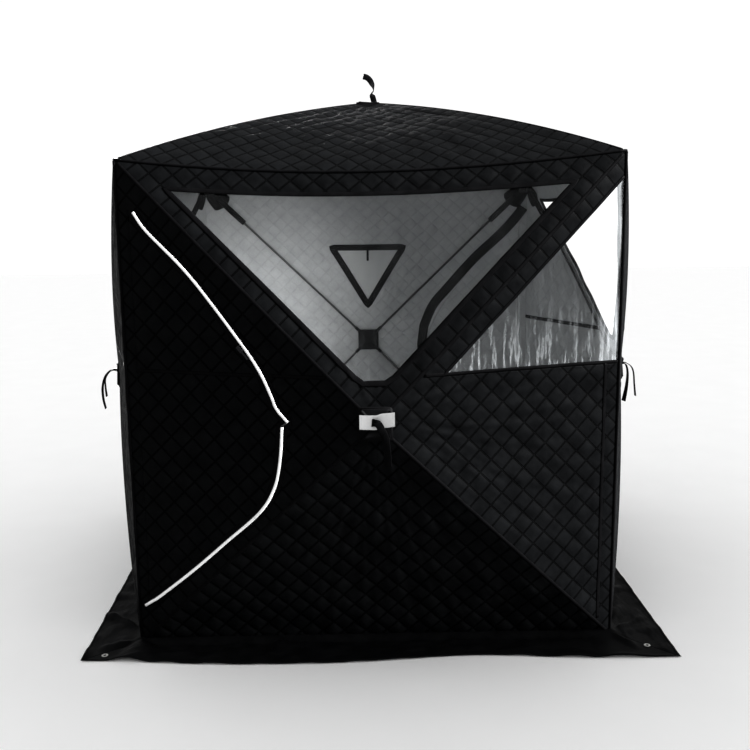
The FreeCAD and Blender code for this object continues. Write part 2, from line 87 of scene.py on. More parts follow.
# Quilting is flat up to the first distance and swells over the second.
FLAT_BY_EDGE, FLAT_BY_SEAM, FLAT_BY_OPENING = (0.004, 0.030), (0.008, 0.016), (0.010, 0.018)
CREASES, SPOKE_CREASES = 0.0030, 0.0020  # heights of the creases, and of those that leave the hub
DIAMONDS, STEPS = 22, 6  # diamonds along a pole, mesh steps in a diamond
GRID = DIAMONDS * STEPS
DIAMOND = 1.0 / DIAMONDS
FOLD_FROM, FOLD_TO = 0.030, 0.110  # distances in from a fold line given to fold(), which doesn't bend the cloth there
UPPER_LOWER = ((1, "upper"), (-1, "lower"))
UPRIGHT = 0.055  # upright seam's distance from a corner of the walls
DOOR_PANELS = (("front", "left"), ("back", "left"))
POLE_DEPTH = 0.017  # how far a pole's middle lies inside the cloth
QUILT_GROOVE = 0.08  # half width of a quilting groove, in diamonds, along which shade is painted into the colour
STITCHES = 14.0  # stitches along the side of a diamond
TAPE_MAP = 0.010  # half width of every tape in its flat coordinates
TAPE_ROW = 0.0072  # a stitch row's distance from the middle, out of TAPE_MAP
TAPE_STITCHES = 250.0  # stitches in a metre of tape
SEAM = 1.055  # height of the horizontal seam round the walls
SEAM_ENDS = 0.012  # how far a seam stops short of a panel's edge


# ---- small helpers
def smooth_step(value):
    """Rises softly from 0 to 1 while the value does."""
    value = np.clip(value, 0, 1)
    return value * value * (3 - 2 * value)


def rising(distance, start, over):
    """0 up to a distance, then softly to 1 over the next stretch."""
    return smooth_step((distance - start) / over)


def sign_of(side):
    """Whether a side panel lies left (-1) or right (1) of the hub."""
    return -1 if side == "left" else 1


def ripples(x, y, seed, shortest, longest, count=9):
    """Sum of plane waves between two wavelengths, about -1 to 1, the same on every run."""
    rng = np.random.default_rng(seed)
    total = np.zeros(np.broadcast(x, y).shape)
    for _ in range(count):
        turn = rng.uniform(0, math.tau)
        number = math.tau / rng.uniform(shortest, longest)
        phase = rng.uniform(0, math.tau)
        wave = number * (np.cos(turn) * x + np.sin(turn) * y) + phase
        total += np.sin(wave)
    return total / math.sqrt(count * 1.5)


def curve_through(points, step=0.012):
    """Smooth line through a few points (Catmull-Rom), at about even spacing."""
    points = np.asarray(points, float)
    ends = np.vstack([2 * points[0] - points[1], points, 2 * points[-1] - points[-2]])
    line = []
    for a, b, c, d in zip(ends, ends[1:], ends[2:], ends[3:]):
        pieces = max(2, int(np.linalg.norm(c - b) / step))
        for t in np.arange(pieces)[:, None] / pieces:
            line.append(0.5 * (2 * b + (c - a) * t + (2 * a - 5 * b + 4 * c - d) * t ** 2
                               + (3 * b - a - 3 * c + d) * t ** 3))
    return np.vstack([*line, points[-1]])


def straight(points, step=0.012, closed=False):
    """Points at about even spacing along straight runs, with every corner kept."""
    points = np.asarray(points, float)
    if closed:
        points = np.vstack([points, points[0]])
    line = [points[:1]]
    for a, b in zip(points, points[1:]):
        pieces = max(1, int(np.linalg.norm(b - a) / step))
        line.append(a + (b - a) * (np.arange(1, pieces + 1)[:, None] / pieces))
    line = np.vstack(line)
    return line[:-1] if closed else line


def new_piece(name, points, faces, materials, which=None, flat_map=None):
    """A smooth piece; which gives each face's material, flat_map each point's flat place."""
    mesh = bpy.data.meshes.new(name)
    mesh.from_pydata([tuple(p) for p in points], [], [tuple(int(i) for i in f) for f in faces])
    for material in materials if isinstance(materials, list) else [materials]:
        mesh.materials.append(material)
    if which is not None:
        mesh.polygons.foreach_set("material_index", np.asarray(which, np.int32))
    mesh.polygons.foreach_set("use_smooth", np.full(len(mesh.polygons), True))
    if flat_map is not None:
        layer = mesh.uv_layers.new(name="cloth")
        loops = np.zeros(len(mesh.loops), np.int32)
        mesh.loops.foreach_get("vertex_index", loops)
        layer.data.foreach_set("uv", np.asarray(flat_map, np.float32)[loops].ravel())
    mesh.validate()
    piece = bpy.data.objects.new(name, mesh)
    bpy.context.scene.collection.objects.link(piece)
    return piece


def tube_faces(rows, around, closed):
    """Quads that join rings of points, with both ends capped if the tube is open."""
    faces = []
    for row in range(rows if closed else rows - 1):
        following = (row + 1) % rows
        for k in range(around):
            right = (k + 1) % around
            faces.append((row * around + k, row * around + right,
                          following * around + right, following * around + k))
    if not closed:
        faces.append(tuple(range(around))[::-1])
        faces.append(tuple((rows - 1) * around + k for k in range(around)))
    return faces


def tangents(line, closed):
    """Unit directions along a line of points."""
    if closed:
        ahead = np.roll(line, -1, 0) - np.roll(line, 1, 0)
    else:
        ahead = np.gradient(line, axis=0)
    return ahead / np.maximum(np.linalg.norm(ahead, axis=1)[:, None], 1e-9)


# ---- where the cloth stands
def pitched(at):
    """The shelter isn't quite square as pitched: its front right corner stands a little high."""
    share = smooth_step((at[..., 0] / HALF + 0.4) / 1.4) * smooth_step((HALF - at[..., 1]) / HALF)
    lifted = at.copy()
    lifted[..., 2] += CORNER_LIFT * share * np.clip(at[..., 2] / (2 * HALF), 0, 1.2)
    return lifted


class Face:
    """One wall or the roof, with the place of any point of its cloth."""

    def __init__(self, name, turn=None):
        self.name = name
        self.roof = turn is None
        if self.roof:
            self.centre = np.array([0, 0, 2 * HALF])
            self.right, self.up = np.array([1.0, 0, 0]), np.array([0, 1.0, 0])
            self.rise, self.bow, self.sink = ROOF_RISE, ROOF_BOW, ROOF_SINK
            self.sides = ("back", "front", "left", "right")
        else:
            c, s = round(math.cos(turn)), round(math.sin(turn))
            self.centre = np.array([HALF * s, -HALF * c, HALF])
            self.right, self.up = np.array([c, s, 0.0]), np.array([0, 0, 1.0])
            self.rise, self.bow, self.sink = WALL_RISE, WALL_BOW, WALL_SINK
            self.sides = ("top", "bottom", "left", "right")
        self.out = np.cross(self.right, self.up)
        self.seed = sum(ord(letter) for letter in name)

    def inward(self, side):
        """Direction from a panel's outer edge to the hub; across runs along that edge."""
        return (-self.up, self.up, self.right, -self.right)[self.sides.index(side)]

    def across(self, side):
        return np.cross(self.inward(side), self.out)

    def body(self, side):
        return f"{self.name}_{side}"

    def hub(self):
        return f"{self.name}_hub_body"

    def in_face(self, side, along, inward):
        """A panel's own coordinates as distances right and up from the hub."""
        at = (np.multiply.outer(along, self.across(side))
              + np.multiply.outer(np.asarray(inward) - HALF, self.inward(side)))
        return np.stack([at @ self.right, at @ self.up], -1)

    def arch(self, inward):
        """How far out a pole's arc stands, at a distance in from the face's edge."""
        chord = math.hypot(HALF, self.rise)
        radius = chord ** 2 / (8 * self.bow) + self.bow / 2
        sink = math.sqrt(radius ** 2 - (chord / 2) ** 2)
        centre_in = HALF / 2 + sink * self.rise / chord
        centre_out = self.rise / 2 - sink * HALF / chord
        return centre_out + np.sqrt(radius ** 2 - (inward - centre_in) ** 2)

    def place(self, spots, lift=0.0):
        """Points of the cloth's outer face at distances right and up from the hub."""
        a, b = np.asarray(spots, float).T
        reach = np.maximum(abs(a), abs(b))
        inward = HALF - reach
        room = np.maximum(reach, 1e-6)
        along = np.where(abs(a) > abs(b), b, a)
        edge = 1 - np.clip(abs(along) / room, 0, 1)
        middle = np.clip(edge * (2 - edge), 0, 1)
        apex = np.clip(reach / HALF, 0, 1)
        hollow = self.sink * 4 * middle * apex * (1 - apex) * 1.1
        rim = smooth_step(inward / 0.08) * smooth_step(edge * room / 0.09)
        spoke = np.arctan2(b, a)
        creases = (ripples(a, b, self.seed, 0.16, 0.55) * CREASES
                   + ripples(spoke, reach * 0.6, self.seed + 7, 0.07, 0.2) * SPOKE_CREASES)
        stand = self.arch(inward) - hollow + creases * rim + lift
        at = (self.centre + np.multiply.outer(a, self.right) + np.multiply.outer(b, self.up)
              + np.multiply.outer(stand, self.out))
        sag = EAVE_SAG * middle * np.clip(1 - inward / 0.5, 0, 1) ** 2
        if not self.roof:
            sag = np.where((b > 0) & (abs(b) >= abs(a)), sag, 0)
        return pitched(at - np.multiply.outer(sag, [0, 0, 1.0]))


TURNS = {"front": 0.0, "right": math.pi / 2, "back": math.pi, "left": -math.pi / 2}
FACES = {name: Face(name, turn) for name, turn in TURNS.items()}
FACES["roof"] = Face("roof")
WALLS = [FACES[name] for name in TURNS]


def fold(piece, face, side, depths=(FOLD_FROM, FOLD_TO)):
    """Bakes a piece's placement into its mesh; it is not bent to follow its panel beside the corner
    seam.
    """
    edge = face.centre - face.inward(side) * HALF
    start, end = (edge + face.inward(side) * d for d in depths)
    face.body(side)
    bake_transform(piece)
    return piece


# ---- materials
BANDS = 3.18  # a wave texture's bands to a metre, at scale 1


class Shader:
    """A principled material with a few words for the nodes this object needs."""

    def __init__(self, name, **sockets):
        self.material = bpy.data.materials.new(name)
        self.material.use_nodes = True
        self.nodes = self.material.node_tree.nodes
        self.links = self.material.node_tree.links
        self.shader = self.nodes["Principled BSDF"]
        for socket, value in sockets.items():
            self.shader.inputs[socket.replace("_", " ")].default_value = value

    def node(self, kind, inputs=None, **settings):
        node = self.nodes.new(kind)
        for key, value in settings.items():
            setattr(node, key, value)
        for key, value in (inputs or {}).items():
            if isinstance(value, bpy.types.NodeSocket):
                self.links.new(value, node.inputs[key])
            else:
                node.inputs[key].default_value = value
        return node

    def coordinates(self, flat=False):
        """Places on the object in metres, or on the cloth laid flat."""
        if flat:
            source = self.node("ShaderNodeUVMap", uv_map="cloth").outputs["UV"]
        else:
            source = self.node("ShaderNodeTexCoord").outputs["Object"]
        return self.node("ShaderNodeMapping", {"Vector": source}).outputs[0]

    def noise(self, vector, scale, detail=4.0, roughness=0.55):
        inputs = {"Vector": vector, "Scale": scale, "Detail": detail, "Roughness": roughness}
        return self.node("ShaderNodeTexNoise", inputs).outputs["Fac"]

    def waves(self, vector, per_metre, direction="X"):
        inputs = {"Vector": vector, "Scale": per_metre / BANDS, "Distortion": 0.0}
        return self.node("ShaderNodeTexWave", inputs, bands_direction=direction).outputs["Fac"]

    def ramp(self, value, stops):
        node = self.node("ShaderNodeValToRGB", {"Fac": value})
        elements = node.color_ramp.elements
        while len(elements) < len(stops):
            elements.new(0.5)
        for element, (place, colour) in zip(elements, stops):
            element.position = place
            grey = isinstance(colour, (int, float))
            element.color = (colour,) * 3 + (1,) if grey else tuple(colour) + (1,)
        return node.outputs["Color"]

    def math(self, kind, a, b):
        return self.node("ShaderNodeMath", {0: a, 1: b}, operation=kind).outputs[0]

    def tint(self, colour, amount):
        """A colour times a grey."""
        inputs = {0: colour, "Scale": amount}
        return self.node("ShaderNodeVectorMath", inputs, operation="SCALE").outputs[0]

    def bump(self, height, strength, distance, under=None):
        inputs = {"Height": height, "Strength": strength, "Distance": distance}
        if under is not None:
            inputs["Normal"] = under
        return self.node("ShaderNodeBump", inputs).outputs["Normal"]

    def use(self, **sockets):
        for socket, value in sockets.items():
            self.links.new(value, self.shader.inputs[socket.replace("_", " ")])
        return self.material


def woven(name, dark, light, threads=900, roughness=0.5, weave=0.25, flat=True, mottle=14.0,
          specular=0.10, sewing=None, sewn=0.7):
    """Plain woven cloth: crossed threads, a slow change of colour, fine lint and sewing, with
    painted shade in the sewing's grooves.
    """
    s = Shader(name, Specular_IOR_Level=specular)
    where = s.coordinates(flat=flat)
    warp = s.waves(where, threads, "X")
    weft = s.waves(where, threads, "Y")
    threads_up = s.math("MAXIMUM", warp, weft)
    patches = s.noise(where, mottle, 6.0, 0.6)
    lint = s.noise(where, 900.0, 2.0)
    tone = s.math("ADD", s.math("MULTIPLY", patches, 0.75), s.math("MULTIPLY", lint, 0.25))
    colour = s.ramp(tone, [(0.32, dark), (0.68, light)])
    height = s.bump(threads_up, weave, 0.0004)
    height = s.bump(s.noise(where, 60.0, 5.0, 0.6), 0.35, 0.0016, height)
    if sewing:
        groove_and_painted_shade, thread = sewing(s, where)
        # Painted shade: the grooves darken the colour by sewn, and the thread brightens it by sewn.
        painted_groove_shade = s.math("SUBTRACT", 1.0, s.math("MULTIPLY", groove_and_painted_shade, sewn))
        colour = s.tint(colour, s.math("ADD", painted_groove_shade, s.math("MULTIPLY", thread, sewn)))
        height = s.bump(s.math("SUBTRACT", thread, groove_and_painted_shade), 0.6, 0.0012, height)
    rough = s.ramp(patches, [(0.3, roughness - 0.1), (0.7, roughness + 0.12)])
    return s.use(Base_Color=colour, Normal=height, Roughness=rough)


def quilt_sewing(s, where):
    """Diamond quilting in a panel's flat coordinates: the pulled-in lines, with painted shade along
    them, and their thread.
    """
    parts = s.node("ShaderNodeSeparateXYZ", {"Vector": where}).outputs
    per_metre = DIAMONDS / (2 * HALF)
    rising = s.math("MULTIPLY", s.math("SUBTRACT", parts["X"], parts["Y"]), per_metre)
    falling = s.math("MULTIPLY", s.math("ADD", parts["X"], parts["Y"]), per_metre)
    groove_and_painted_shade, thread = [], []
    for line, along in ((rising, falling), (falling, rising)):
        away = s.math("PINGPONG", line, 0.5)
        # This ramp is painted shade: it darkens the colour along each stitched line, and the same
        # mask sinks the bump.
        groove_and_painted_shade.append(s.ramp(away, [(0.0, 1.0), (0.035, 1.0), (QUILT_GROOVE, 0.0)]))
        stitch = s.math("PINGPONG", s.math("MULTIPLY", along, STITCHES), 0.5)
        on_line = s.ramp(away, [(0.0, 1.0), (0.010, 1.0), (0.016, 0.0)])
        thread.append(s.math("MULTIPLY", on_line, s.ramp(stitch, [(0.12, 0.0), (0.2, 1.0)])))
    return s.math("MAXIMUM", *groove_and_painted_shade), s.math("MAXIMUM", *thread)


def edge_sewing(s, where):
    """Two rows of stitches, one along each edge of a tape, with painted shade along each row."""
    parts = s.node("ShaderNodeSeparateXYZ", {"Vector": where}).outputs
    off_middle = s.math("ABSOLUTE", parts["Y"], 0.0)
    off_row = s.math("ABSOLUTE", s.math("SUBTRACT", off_middle, TAPE_ROW), 0.0)
    share = s.math("DIVIDE", off_row, TAPE_MAP)
    # Painted shade along each stitch row; the same mask sinks the bump.
    groove_and_painted_shade = s.ramp(share, [(0.0, 1.0), (0.14, 0.0)])
    stitch = s.math("PINGPONG", s.math("MULTIPLY", parts["X"], TAPE_STITCHES), 0.5)
    on_row = s.ramp(share, [(0.04, 1.0), (0.07, 0.0)])
    thread = s.math("MULTIPLY", on_row, s.ramp(stitch, [(0.12, 0.0), (0.2, 1.0)]))
    return groove_and_painted_shade, thread


def moulded(name, colour, roughness=0.45, grain=260.0):
    """Moulded plastic or glass fibre with fine pits."""
    s = Shader(name, Roughness=roughness)
    where = s.coordinates()
    tone = s.noise(where, 35.0, 5.0)
    base = s.ramp(tone, [(0.3, [c * 0.75 for c in colour]), (0.7, [c * 1.2 for c in colour])])
    pits = s.bump(s.noise(where, grain, 3.0), 0.25, 0.0005)
    rough = s.ramp(tone, [(0.3, roughness - 0.08), (0.7, roughness + 0.12)])
    return s.use(Base_Color=base, Normal=pits, Roughness=rough)


def plated(name, colour, roughness=0.3):
    """Plated metal, worn a little darker and rougher in places."""
    s = Shader(name, Metallic=1.0, Roughness=roughness)
    where = s.coordinates()
    wear = s.noise(where, 240.0, 6.0, 0.65)
    base = s.ramp(wear, [(0.35, [c * 0.6 for c in colour]), (0.6, colour)])
    return s.use(Base_Color=base, Normal=s.bump(wear, 0.15, 0.0003),
                 Roughness=s.ramp(wear, [(0.3, roughness + 0.2), (0.7, roughness)]))


def clear_vinyl(name, haze, painted_highlight, corner=0.0):
    """Soft clear sheet: faint haze, standing creases and a creased corner; creases and corner carry
    painted highlights as white opaque streaks.
    """
    s = Shader(name, Base_Color=(0.80, 0.83, 0.85, 1), Roughness=0.12, Specular_IOR_Level=0.12)
    where = s.coordinates(flat=True)
    upright = s.node("ShaderNodeMapping", {"Vector": where, "Scale": (7.0, 0.8, 1)}).outputs[0]
    folds = s.noise(upright, 7.0, 5.0, 0.6)
    # Painted highlights: white opaque streaks along the creases, strongest low down.
    lines = s.ramp(folds, [(0.52, 0.0), (0.58, 1.0), (0.62, 0.1), (0.70, 0.6)])
    place = s.node("ShaderNodeSeparateXYZ", {"Vector": where}).outputs
    low_down = s.ramp(place["Y"], [(0.16, 1.0), (0.36, 0.12)])
    # Painted highlight on the creases near the wall's right-hand corner, scaled by corner.
    painted_corner_highlight = s.math("MULTIPLY", s.ramp(place["X"], [(0.80, 0.0), (0.89, 1.0)]), corner)
    dust = s.noise(where, 45.0, 8.0, 0.7)
    # The alpha is the painted highlights plus the dust haze.
    cover = s.math("MULTIPLY", s.math("MULTIPLY", lines, low_down), painted_highlight)
    cover = s.math("ADD", cover, s.math("MULTIPLY", dust, haze))
    cover = s.math("ADD", cover, s.math("MULTIPLY", painted_corner_highlight, folds))
    height = s.math("ADD", folds, s.math("MULTIPLY", s.noise(where, 11.0, 3.0), 0.4))
    s.material.surface_render_method = "BLENDED"
    return s.use(Alpha=cover, Normal=s.bump(height, 0.5, 0.006))


def netting(name):
    """Fine net that lets some light through between its threads."""
    s = Shader(name, Base_Color=(0.50, 0.51, 0.51, 1), Roughness=0.8)
    where = s.coordinates(flat=True)
    holes = s.math("MAXIMUM", s.waves(where, 500, "X"), s.waves(where, 500, "Y"))
    return s.use(Alpha=s.ramp(holes, [(0.45, 0.35), (0.7, 1.0)]))


def reflective(name, share=1.0):
    """Silvery beaded sheet; share dims it."""
    s = Shader(name, Roughness=0.32, Specular_IOR_Level=0.8 * share)
    where = s.coordinates()
    beads = s.noise(where, 1500.0, 2.0)
    scuffs = s.noise(where, 30.0, 8.0, 0.7)
    tone = s.ramp(scuffs, [(0.3, 0.55 * share), (0.42, 0.80 * share), (0.8, 0.93 * share)])
    return s.use(Base_Color=tone, Normal=s.bump(beads, 0.3, 0.0003))


# sewn sets how dark shade is painted into the quilting grooves, strong on the shell and faint on the
# lining.
SHELL = woven("shell_cloth", (0.0018, 0.0019, 0.0021), (0.0044, 0.0047, 0.0051),
              specular=0.012, sewing=quilt_sewing, sewn=0.95)
LINING = woven("lining_cloth", (0.33, 0.338, 0.342), (0.42, 0.428, 0.432), roughness=0.7,
               sewing=quilt_sewing, sewn=0.06)
TAPE = woven("binding_tape", (0.0016, 0.0016, 0.0018), (0.0036, 0.0036, 0.0039), threads=1400,
             roughness=0.5, specular=0.010, sewing=edge_sewing)
BLACK_CLOTH = woven("sleeve_cloth", (0.0016, 0.0016, 0.0018), (0.0036, 0.0036, 0.0039),
                    specular=0.010, flat=False)
SKIRT = woven("skirt_cloth", (0.0026, 0.0027, 0.0030), (0.0080, 0.0083, 0.0090), specular=0.03)
PATCH = woven("patch_cloth", (0.0018, 0.0018, 0.0020), (0.0045, 0.0045, 0.0048), threads=1100,
              roughness=0.42, specular=0.015, flat=False)
WEBBING = woven("webbing", (0.0012, 0.0012, 0.0014), (0.0038, 0.0038, 0.0041), threads=620,
                weave=0.7, roughness=0.5, specular=0.010, flat=False)
# Haze is dust; the creases carry painted highlights, faint on the front sheet and strong on the side
# sheet, which also gets a painted corner highlight.
VINYL = clear_vinyl("front_vinyl", 0.010, 0.015)
SIDE_VINYL = clear_vinyl("side_vinyl", 0.012, 0.13, 0.30)
NETTING = netting("vent_netting")
REFLECTIVE = reflective("reflective_piping")
ROD = moulded("glass_fibre", (0.015, 0.015, 0.016), 0.35, 500.0)
NYLON = moulded("black_nylon", (0.016, 0.016, 0.017), 0.5)
EYELET = plated("eyelet", (0.60, 0.60, 0.58), 0.4)
ZIP_METAL = plated("zip_metal", (0.030, 0.030, 0.032), 0.35)
ZIP_COIL = moulded("zip_coil", (0.014, 0.014, 0.015), 0.4, 600.0)
LABEL = reflective("plain_label", 0.80)


# ---- quilted panels
def make_lattice(count):
    """A whole panel as a grid of quads, with triangles along its outer edge."""
    i, j = np.meshgrid(np.arange(count + 1), np.arange(count + 1), indexing="ij")
    kept = i + j <= count
    index = np.full(i.shape, -1)
    index[kept] = np.arange(kept.sum())
    faces = []
    for a in range(count):
        for b in range(count - a):
            if a + b + 2 <= count:
                faces.append((index[a, b], index[a, b + 1], index[a + 1, b + 1], index[a + 1, b]))
            else:
                faces.append((index[a, b], index[a, b + 1], index[a + 1, b], index[a + 1, b]))
    i, j = i[kept] / count, j[kept] / count
    return HALF * (i - j), HALF * (1 - i - j), i * DIAMONDS, j * DIAMONDS, np.array(faces)


FINE = make_lattice(GRID)
COARSE = make_lattice(GRID // 2)


def inside(spots, outline):
    """Which spots lie inside a closed outline."""
    x, y = spots[:, 0], spots[:, 1]
    result = np.zeros(len(spots), bool)
    for (x1, y1), (x2, y2) in zip(outline, np.roll(outline, -1, 0)):
        crosses = (y1 > y) != (y2 > y)
        height = y2 - y1 if y2 != y1 else 1e-12
        result ^= crosses & (x < (x2 - x1) * (y - y1) / height + x1)
    return result


def trim(lattice, outline=None, keep_inside=True):
    """Faces on one side of an outline, with the cut edge drawn exactly onto it."""
    along, inward, _, _, faces = lattice
    spots = np.stack([along, inward], -1)
    if outline is None:
        return spots, faces
    outline = np.asarray(outline, float)
    chosen = inside(spots[faces].mean(1), outline) == keep_inside
    kept, dropped = np.unique(faces[chosen]), np.unique(faces[~chosen])
    border = np.intersect1d(kept, dropped)
    a, b = outline, np.roll(outline, -1, 0)
    d = b - a
    rel = spots[border][:, None] - a[None]
    t = np.clip((rel * d).sum(-1) / np.maximum((d * d).sum(-1), 1e-12), 0, 1)
    feet = a[None] + d[None] * t[..., None]
    nearest = np.linalg.norm(spots[border][:, None] - feet, axis=-1).argmin(1)
    spots = spots.copy()
    spots[border] = feet[np.arange(len(border)), nearest]
    return spots, faces[chosen]


def cut_sheet(lattice, outline=None, keep_inside=True):
    """A trimmed lattice's spots and faces, and each spot's place in the whole lattice."""
    spots, faces = trim(lattice, outline, keep_inside)
    used, flat = np.unique(faces, return_inverse=True)
    return spots[used], flat.reshape(faces.shape), used


def rings_of(faces):
    """Faces as tuples, without the corner that a triangle repeats."""
    return [tuple(dict.fromkeys(face)) for face in faces]


def layered(name, outer, inner, faces, materials, flat_map=None):
    """A sheet with thickness: two layers closed along every edge, the inner in the last material."""
    count = len(outer)
    outside = rings_of(faces)
    inside_ones = [tuple(v + count for v in reversed(ring)) for ring in outside]
    rim = [(b, a, a + count, b + count) for a, b in border_edges(faces)]
    which = [0] * len(outside) + [len(materials) - 1] * len(inside_ones) + [0] * len(rim)
    if flat_map is not None:
        flat_map = np.vstack([flat_map, flat_map])
    points = np.vstack([outer, inner])
    return new_piece(name, points, outside + inside_ones + rim, materials, which, flat_map)


def border_edges(faces):
    """Edges that only one face uses, in that face's direction."""
    pairs = {}
    for face in faces:
        ring = [v for k, v in enumerate(face) if v != face[k - 1]]
        for a, b in zip(ring, ring[1:] + ring[:1]):
            pairs[(a, b)] = True
    return [(a, b) for a, b in pairs if (b, a) not in pairs]


def distance_to(spots, line):
    """How far each spot is from the nearest run of an open line."""
    nearest = np.full(len(spots), np.inf)
    for a, b in zip(line, line[1:]):
        run = b - a
        t = np.clip((spots - a) @ run / max(run @ run, 1e-12), 0, 1)
        nearest = np.minimum(nearest, np.linalg.norm(spots - a - t[:, None] * run, axis=1))
    return nearest


def quilted(name, face, side, outline=None, keep_inside=True):
    """A padded panel: puffed shell outside, lining inside, closed along every edge."""
    spots, faces, used = cut_sheet(FINE, outline, keep_inside)
    i, j = FINE[2][used], FINE[3][used]
    swell = abs(np.sin(math.pi * i) * np.sin(math.pi * j)) ** PUFF_POWER
    swell *= rising(spots[:, 1], *FLAT_BY_EDGE)
    for line in seam_lines(face, side):
        swell *= rising(distance_to(spots, line), *FLAT_BY_SEAM)
    if outline is not None:
        rim_line = np.vstack([outline, outline[:1]])
        swell *= rising(distance_to(spots, rim_line), *FLAT_BY_OPENING)
    rng = np.random.default_rng(face.seed + len(side))
    dent = rng.uniform(*FULLNESS, (DIAMONDS + 1, DIAMONDS + 1))
    swell *= dent[np.minimum(i.astype(int), DIAMONDS), np.minimum(j.astype(int), DIAMONDS)]
    at_face = face.in_face(side, *spots.T)
    outer = face.place(at_face, swell * PUFF)
    inner = face.place(at_face, -CLOTH - swell * PUFF * 0.5)
    piece = layered(name, outer, inner, faces, [SHELL, LINING], spots)
    return piece


def seam_lines(face, side):
    """Seams across a panel, in its own coordinates: level with the ice, then upright."""
    if face.roof or side in ("top", "bottom"):
        return []
    level = (SEAM - HALF) * sign_of(side)
    lines = [[(level, SEAM_ENDS), (level, HALF - abs(level) - SEAM_ENDS)]]
    reach = HALF - UPRIGHT - 0.02
    if (face.name, side) == ("front", "right"):
        lines.append([(-reach, UPRIGHT), (level, UPRIGHT)])
    elif (face.name, side) not in DOOR_PANELS:
        lines.append([(-reach, UPRIGHT), (reach, UPRIGHT)])
    return [np.array(line) for line in lines]


# ---- strips sewn on the cloth
def strip(name, face, path, half_width, thick, lift=0.0, closed=False, material=None,
          inner=False):
    """A low domed strip along a path on the cloth, outside it or on its lining."""
    path = np.asarray(path, float)
    ahead = tangents(path, closed)
    aside = np.stack([ahead[:, 1], -ahead[:, 0]], -1)
    profile = [(-1, 0.0), (-1, 0.6), (-0.55, 1.0), (0, 1.08), (0.55, 1.0), (1, 0.6), (1, 0.0),
               (0, -0.2)]
    sign = -1 if inner else 1
    rows = []
    widths = np.broadcast_to(half_width, len(path))[:, None]
    for across, height in profile:
        offset = sign * (height * thick + lift) - (CLOTH + PUFF * 0.6 if inner else 0)
        rows.append(face.place(path + aside * across * widths, offset))
    points = np.stack(rows, 1).reshape(-1, 3)
    faces = tube_faces(len(path), len(profile), closed)
    if inner:
        faces = [f[::-1] for f in faces]
    steps = np.linalg.norm(np.diff(path, axis=0), axis=1)
    run = np.concatenate([[0], np.cumsum(steps)])
    flat = [(distance, x * TAPE_MAP) for distance in run for x, _ in profile]
    return new_piece(name, points, faces, material or TAPE, flat_map=flat)


def sewn(name, face, side, path, half_width, thick, lift=0.0, **kind):
    """A strip sewn on a panel, with its placement baked into its mesh."""
    return fold(strip(name, face, path, half_width, thick, lift, **kind), face, side)


def tube(name, line, radius, material, around=10):
    """Round tube along a line in space; radius may change along it."""
    line = np.asarray(line, float)
    ahead = tangents(line, False)
    guide = np.array([0.31, 0.27, 0.91])  # a direction that none of the lines takes
    aside = np.cross(ahead, guide)
    aside /= np.linalg.norm(aside, axis=1)[:, None]
    over = np.cross(ahead, aside)
    radii = np.broadcast_to(radius, len(line))
    angles = np.arange(around) * math.tau / around
    ring = (aside[:, None] * np.cos(angles)[None, :, None]
            + over[:, None] * np.sin(angles)[None, :, None])
    points = (line[:, None] + ring * radii[:, None, None]).reshape(-1, 3)
    return new_piece(name, points, tube_faces(len(line), around, False), material)


def ribbon(line, sides, width, thick):
    """Points and faces of a flat band: its width lies along the given side directions."""
    line = np.asarray(line, float)
    ahead = tangents(line, False)
    sides = np.asarray(sides, float)
    sides = sides - ahead * (sides * ahead).sum(1)[:, None]
    sides /= np.linalg.norm(sides, axis=1)[:, None]
    over = np.cross(ahead, sides)
    profile = [(-0.5, -0.3), (-0.5, 0.3), (-0.44, 0.5), (0, 0.46), (0.44, 0.5), (0.5, 0.3),
               (0.5, -0.3), (0.44, -0.5), (0, -0.46), (-0.44, -0.5)]
    rows = [line + sides * x * width + over * y * thick for x, y in profile]
    points = np.stack(rows, 1).reshape(-1, 3)
    return points, tube_faces(len(line), len(profile), False)


def join_parts(parts):
    """Several (points, faces) as one."""
    points, faces, start = [], [], 0
    for some_points, some_faces in parts:
        points.append(some_points)
        faces += [tuple(v + start for v in f) for f in some_faces]
        start += len(some_points)
    return np.vstack(points), faces


# ---- outlines on the panels
BAND = DIAMOND * 2 * HALF * 1.02  # along the outer edge, from a diagonal to a window
WINDOW_TOP = 0.096  # cloth over the top windows
CORNER_EDGE = 0.006  # cloth left between the side window and the corner


def top_window(grow=0.0):
    side, top = BAND - grow * 1.6, WINDOW_TOP - grow
    low = HALF - side - 0.068
    return np.array([(-(HALF - side - top - 0.004), top), (HALF - side - top, top),
                     (HALF - side - low, low), (0.040, low + 0.020 + grow),
                     (-0.036, low + 0.020 + grow), (-(HALF - side - low), low)])


def side_window(grow=0.0):
    """Upper half of the front's right panel: corner edge, pole band and horizontal seam."""
    edge, seam = CORNER_EDGE - grow, SEAM - HALF - grow
    reach = HALF - BAND + grow * 1.6
    return np.array([(seam, edge), (reach - edge, edge), (seam, reach - seam)])


def door_path():
    """The zip's two runs, from the door's upper corner round the nose to its foot."""
    upper = curve_through([(-0.716, 0.061), (-0.650, 0.108), (-0.525, 0.235), (-0.40, 0.337),
                           (-0.20, 0.482), (-0.09, 0.536), (-0.04, 0.555), (0.008, 0.595)])
    lower = curve_through([(0.024, 0.574), (0.14, 0.564), (0.24, 0.542), (0.335, 0.485),
                           (0.455, 0.358), (0.575, 0.228), (0.690, 0.094), (0.726, 0.046)])
    return upper, lower


